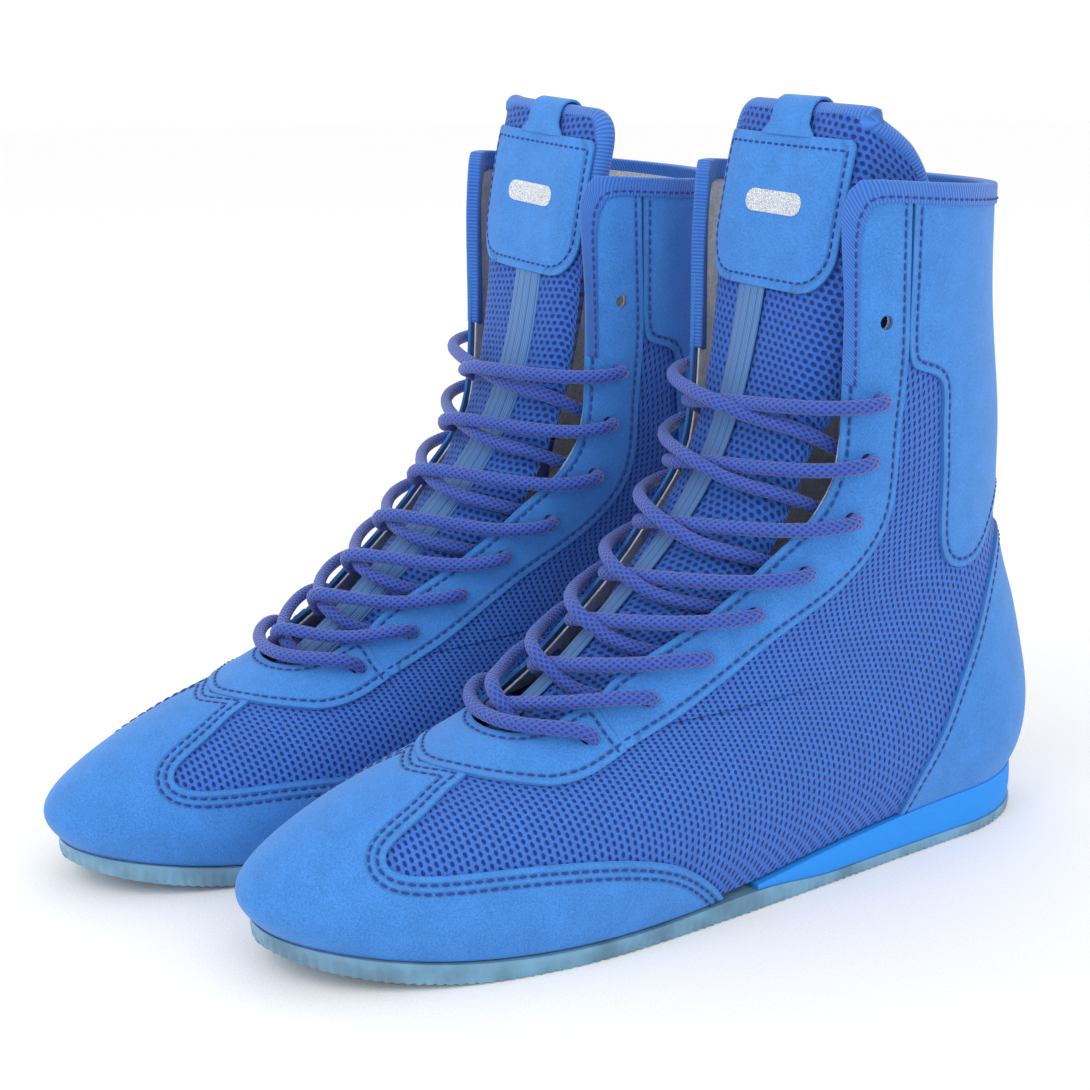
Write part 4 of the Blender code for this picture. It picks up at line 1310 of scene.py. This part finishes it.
@dataclass
class Tongue:
    """Padded tongue with its lateral wing, patch, ribbon and top tape."""

    boot: Boot
    half: float = 35.0
    thick: float = 6.0
    low_v: float = 0.372
    high_v: float = 1.066
    wing: float = 45.0
    wing_per_u: float = 128.0
    wing_drop: float = 0.096
    wing_from: Pair = (0.70, 0.90)
    ribbon_lean: float = -5.0
    deepest: float = -7.9
    rise: float = 300.0
    tape_radius: float = 3.7
    patch: Pair = (0.865, 1.040)
    fold: float = 0.028
    crest: ClassVar = ((.30, -3.6), (.385, -3.8), (.42, -4.0), (.52, -4.2), (.63, -5),
                       (.75, -6), (.87, -7), (1.0, -9.5), (1.12, -13))

    def place(self, girth: np.ndarray, v: np.ndarray, out: np.ndarray) -> np.ndarray:
        """A point of the tongue, girth mm round it from its middle."""
        girth, v = np.broadcast_arrays(np.asarray(girth, float), np.asarray(v, float))
        x = np.minimum(girth, self.half)
        crest = np.interp(v, *np.array(self.crest).T)
        edge = np.minimum(crest, self.deepest)
        deep = crest + (edge - crest) * smoothstep(np.abs(x), 4, 15)
        last = self.boot.last
        u = last.u_at_x(x, v) + (girth - x) / self.wing_per_u
        return last.layer(u, v, deep + out)

    def top(self, s: np.ndarray) -> np.ndarray:
        """Height of the top edge across the tongue, curving down over the wing."""
        girth = s * (2 * self.half + self.wing) - self.half
        over = np.clip((girth - 25) / (self.wing + 10), 0, 1)
        start = np.clip((-25 - girth) / 10, 0, 1)
        high = self.high_v - self.wing_drop * (1 - np.sqrt(1 - over ** 2.5))
        return high - 0.03 * (1 - np.sqrt(1 - start ** 2))

    def spot(self, s: np.ndarray, v: np.ndarray) -> np.ndarray:
        """The girth and the height of a place s across the whole tongue."""
        wing = self.wing * smoothstep(v, *self.wing_from)
        return np.stack([s * (2 * self.half + wing) - self.half, v], -1)

    def rails(self, low: float, high: float, half: float, corner: float,
              count: int = 90, bottom: float = 0.0, lean: float = 0.0,
              ) -> tuple[np.ndarray, np.ndarray]:
        """Two edges of a strip of the tongue.

        Args:
            low: the v of its lower end.
            high: the v of its upper end.
            half: half its width, in mm.
            corner: the radius of its upper corners, in mm.
            count: how many points each edge gets.
            bottom: the radius of its lower corners.
            lean: how far its middle stands to one side.

        Returns:
            The medial and the lateral edge, as (girth, v).
        """
        v = np.linspace(low, high, count)
        width = np.full(count, half)
        for radius, gap in ((corner, (high - v) * self.rise), (bottom, (v - low) * self.rise)):
            if radius:
                short = np.clip(radius - gap, 0, radius)
                width = width - radius + np.sqrt(radius ** 2 - short ** 2 + 0.04)
        return np.stack([lean - width, v], -1), np.stack([lean + width, v], -1)

    def puff(self, x: np.ndarray, v: np.ndarray) -> np.ndarray:
        """How the padding swells between the ribbon and the edges, and creases."""
        belly = np.clip(1 - ((np.abs(x) - 20) / 14) ** 2, 0, 1)
        crease = np.sin(v * 95 + x * 0.05) * smoothstep(v, .42, .5) * (
            1 - smoothstep(v, .68, .8))
        return belly * 1.1 + crease * 0.35 * smoothstep(np.abs(x), 7, 16)

    def sheet(self, name: str, rails: tuple[np.ndarray, np.ndarray], across: int,
              depth: Pair, finish: Finish, node: str, slot: str,
              seams: Sequence[np.ndarray] = (), rim: float = 0.4,
              relief: Callable | None = None) -> bpy.types.Object:
        """Make one layer of the tongue."""
        piece = Panel(name, rails, across, depth, self.place, seams, rim=rim,
                      relief=relief).build(self.boot, finish)
        return settle(piece, self.boot.body("tongue"), slot, *(
            [f"{self.boot.name}_{node}"] if node else []))

    def pad(self) -> None:
        """The padded mesh body."""
        s = np.linspace(0, 1, 70)
        high = np.stack([s, self.top(s)], -1)
        low = np.stack([s, 0 * s + self.low_v], -1)
        piece = Panel("tongue_pad", (low, high), 100, (-self.thick, 0.0), self.across,
                      rim=1.6, relief=lambda s, v: self.puff(self.spot(s, v)[:, 0], v)).build(
                          self.boot, TONGUE_MESH)
        piece.modifiers["rounded"].segments = 3
        settle(piece, self.boot.body("tongue"), "tongue_mesh",
               f"{self.boot.name}_tongue_base")

    def across(self, s: np.ndarray, v: np.ndarray, out: np.ndarray) -> np.ndarray:
        """A point s across the whole tongue at height v."""
        spot = self.spot(np.asarray(s, float), np.asarray(v, float))
        return self.place(spot[..., 0], spot[..., 1], out)

    def build(self) -> None:
        """Make the tongue's pieces and sew them."""
        self.pad()
        rails = self.rails(*self.patch, self.half - 1.5, 3, 60, 15)
        edge = np.concatenate([rails[0][::-1], rails[1]])
        self.sheet("tongue_patch_suede", rails, 30, (0.6, 1.8), EDGED_SUEDE, "tongue_patch",
                   "upper_suede", (edge,), relief=lambda x, v: self.puff(x, v) * 0.6)
        self.sheet("tongue_ribbon_tape",
                   self.rails(.405, .872, 7.2, 0, 120, lean=self.ribbon_lean), 6,
                   (0.6, 1.3), RIBBON, "tongue_ribbon", "ribbon", rim=0.2)
        self.tape()
        self.neck()
        self.sew()

    def tape(self) -> None:
        """The tape rolled over the tongue's top edge and round its corners."""
        s = np.linspace(0, 1, 240)
        top = np.stack([s, self.top(s)], -1)
        left = np.stack([np.zeros(20), np.linspace(.975, top[0, 1], 20)], -1)
        right = np.stack([np.ones(12), np.linspace(top[-1, 1], .95, 12)], -1)
        path = np.concatenate([left[:-1], top, right[1:]])
        line = self.across(path[:, 0], path[:, 1], np.full(len(path), -self.thick / 2))
        tube = Tube("tongue_tape", evenly(line, 260), self.tape_radius, 16, 1.0)
        piece = tube.build(self.boot, TAPE)
        settle(piece, self.boot.body("tongue"), "binding_tape",
               f"{self.boot.name}_tongue_binding")

    def over(self, across: np.ndarray, turn: np.ndarray, out: np.ndarray) -> np.ndarray:
        """A place on the neck, turned from the patch over the top edge to the back."""
        turn = np.asarray(turn, float)
        v = self.high_v - self.fold + self.fold * np.clip(turn, 0, 1)
        v = v - self.fold * np.clip(turn - 2, 0, 1)
        angle = np.clip(turn - 1, 0, 1) * math.pi
        reach = 4.3 + np.asarray(out, float)
        deep = -self.thick / 2 + reach * np.cos(angle)
        lift = reach * np.sin(angle) / self.rise
        return self.place(np.asarray(across, float), v + lift, deep)

    def neck(self) -> None:
        """The suede that runs from the patch over the tape."""
        turn = np.linspace(0, 3, 60)
        half = 9.5 + 3.5 * (1 - smoothstep(turn, 0.0, 0.6))
        rails = (np.stack([-half, turn], -1), np.stack([half, turn], -1))
        piece = Panel("tongue_neck_suede", rails, 12, (0.1, 1.2), self.over, rim=0.4).build(
            self.boot, PLAIN_SUEDE)
        settle(piece, self.boot.body("tongue"), "upper_suede")

    def sew(self) -> None:
        """Rows of stitches round the patch and across its top."""
        seam = Seam("tongue_stitches", pitch=3.1, length=2.3)
        left, right = self.rails(.875, 1.03, self.half - 4.5, 0, 60, 13)
        for path in (np.concatenate([left[::-1], right]),
                     np.stack([np.linspace(-30, 30, 80), np.full(80, 1.028)], -1)):
            fine = evenly(path * (1, self.rise), 300) / (1, self.rise)
            out = self.puff(fine[:, 0], fine[:, 1]) * 0.6 + 1.85
            seam.add(self.place(fine[:, 0], fine[:, 1], out))
        settle(seam.build(self.boot), self.boot.body("tongue"), "")


@dataclass
class Lacing:
    """The round lace, laid over the facings and crossed up to the eighth eyelets."""

    boot: Boot
    radius: float = 2.4
    laced: int = 8
    over: float = 4.6
    under: float = -4.7

    def opening(self, v: float) -> float:
        """The u of the edge that the lace comes out from under."""
        if v < 0.422:
            return 0.140
        return float(np.interp(v, [p[1] for p in Upper.facing_inner],
                               [p[0] for p in Upper.facing_inner]))

    def crossing(self, side: int, level: int) -> list[tuple[float, float, float]]:
        """From the eyelet at this level on this side up to the next on the other side."""
        last = self.boot.last
        u, v = Upper.eyelets[level]
        next_u, next_v = Upper.eyelets[level + 1]
        rise = next_v - v
        near, far = v + 0.42 * rise, v + 0.86 * rise
        edge_x = float(last.surface(self.opening(near), near)[0]) - 4.5
        far_x = float(last.surface(self.opening(far), far)[0])
        middle = 8.0 if side > 0 else 2.8
        mids = ((side * edge_x, near, -3.7), (side * edge_x * 0.5, v + 0.53 * rise, 0.6),
                (0.0, v + 0.64 * rise, middle), (-side * far_x, far, 5.0))
        places = [(side * u, v, self.under)]
        places += [(float(last.u_at_x(x, at)), at, out) for x, at, out in mids]
        return places + [(-side * next_u, next_v, self.over)]

    def route(self) -> np.ndarray:
        """The lace's line, in mm: two halves that meet at the bottom bar."""
        def half(side: int) -> list[tuple[float, float, float]]:
            points = [(side * Upper.eyelets[0][0], Upper.eyelets[0][1], self.over)]
            for level in range(self.laced - 1):
                points += self.crossing(side, level)
                side = -side
            u, v = Upper.eyelets[self.laced - 1]
            tail = ((u, v, self.under), (0.40, v - 0.015, -8.2), (0.47, v - 0.06, -9.8),
                    (0.50, v - 0.11, -10.2), (0.51, v - 0.15, -10.2))
            return points + [(side * a, b, c) for a, b, c in tail]

        bar = [(-0.10, 0.384, 5.2), (0.10, 0.384, 5.2)]
        places = half(-1)[::-1] + bar + half(1)
        knots = np.array([self.boot.last.layer(*place) for place in places])
        run = np.concatenate([[0], np.cumsum(np.linalg.norm(np.diff(knots, axis=0),
                                                            axis=1) ** 0.5)])
        smooth = Spline(run, knots)(np.linspace(0, run[-1], 1400))
        return evenly(smooth, 1000)

    def build(self) -> None:
        """Make the lace."""
        name, body = self.boot.name, self.boot.body()
        piece = Tube("braided_lace", self.route(), self.radius, 12, 0.92).build(
            self.boot, LACE)
        settle(piece, body, "lace_cord", f"{name}_lace")


@dataclass
class Marks:
    """Plain silver prints, in place of any badge."""

    boot: Boot

    def build(self) -> None:
        """Make the bar on the tongue's patch."""
        tongue = Tongue(self.boot)
        bar = tongue.rails(.948, .975, 14, 4, 24, 4)
        piece = Panel("silver_bar", bar, 24, (1.85, 1.98), tongue.place, rim=0.0,
                      relief=lambda x, v: tongue.puff(x, v) * 0.6).build(self.boot, SILVER)
        settle(piece, self.boot.body("tongue"), "")


@dataclass
class Studio:
    """Pale floor, soft lights and the camera."""

    lens: float = 56.77
    turn: float = 58.05
    pitch: float = 14.44
    roll: float = -0.19
    spot: tuple[float, float, float] = (0.4922, -0.3081, 0.2533)

    def camera(self) -> None:
        """Set the camera up."""
        data = bpy.data.cameras.new("view")
        data.lens = self.lens
        data.sensor_width = 36
        data.clip_start, data.clip_end = 0.01, 50
        camera = bpy.data.objects.new("view", data)
        bpy.context.scene.collection.objects.link(camera)
        a, e, r = (math.radians(x) for x in (self.turn, self.pitch, self.roll))
        back = Vector((math.sin(a) * math.cos(e), -math.cos(a) * math.cos(e), math.sin(e)))
        right = Vector((math.cos(a), math.sin(a), 0))
        up = back.cross(right)
        turned = right * math.cos(r) + up * math.sin(r)
        up = up * math.cos(r) - right * math.sin(r)
        frame = Matrix((turned, up, back)).transposed().to_4x4()
        camera.matrix_world = Matrix.Translation(self.spot) @ frame
        bpy.context.scene.camera = camera

    def light(self, name: str, spot: Colour, size: float, power: float) -> None:
        """Add one soft light aimed at the boots."""
        data = bpy.data.lights.new(name, "AREA")
        data.size = size
        data.energy = power
        lamp = bpy.data.objects.new(name, data)
        lamp.location = spot
        aim = Vector((0, 0, 0.1)) - lamp.location
        lamp.rotation_euler = aim.to_track_quat("-Z", "Y").to_euler()
        bpy.context.scene.collection.objects.link(lamp)

    def floor(self) -> None:
        """Lay the pale floor."""
        bm = bmesh.new()
        bmesh.ops.create_grid(bm, x_segments=2, y_segments=2, size=20)
        piece = make_object("studio_floor", bm, Finish("pale_floor", (0.96, 0.96, 0.96), 0.9))

    def build(self) -> None:
        """Make the whole studio."""
        self.camera()
        self.floor()
        world = bpy.data.worlds.new("studio")
        world.use_nodes = True
        sky = world.node_tree.nodes["Background"]
        sky.inputs["Color"].default_value = (1, 1, 1, 1)
        sky.inputs["Strength"].default_value = 1.08
        bpy.context.scene.world = world
        self.light("key", (0.2, -1.5, 1.4), 1.2, 9)
        self.light("fill", (1.7, 0.1, 0.9), 1.4, 5)
        bpy.context.scene.view_settings.view_transform = "Standard"


def dress_frame(frame: dict[str, object]) -> None:
    """Give the CAD aglets, which stay in view, their own finish."""
    for name, node in frame["nodes"].items():
        if "aglet" in name:
            node.data.materials.clear()
            node.data.materials.append(AGLET_FILM.material())


def main() -> None:
    """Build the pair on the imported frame."""
    for leftover in list(bpy.data.objects):
        bpy.data.objects.remove(leftover, do_unlink=True)
    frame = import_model()
    Studio().build()
    dress_frame(frame)
    boots = (Boot("left", (51.9, 159.3), 0.0, -0.05, False),
             Boot("right", (-55.4, 128.3), 1.6, 0.08, True))
    for boot in boots:
        Lacing(boot).build()
        Sole(boot).build()
        Upper(boot).build()
        Collar(boot).build()
        Tongue(boot).build()
        Marks(boot).build()


if __name__ == "__main__":
    logging.basicConfig(level=logging.INFO, format="%(asctime)s %(message)s")
    main()
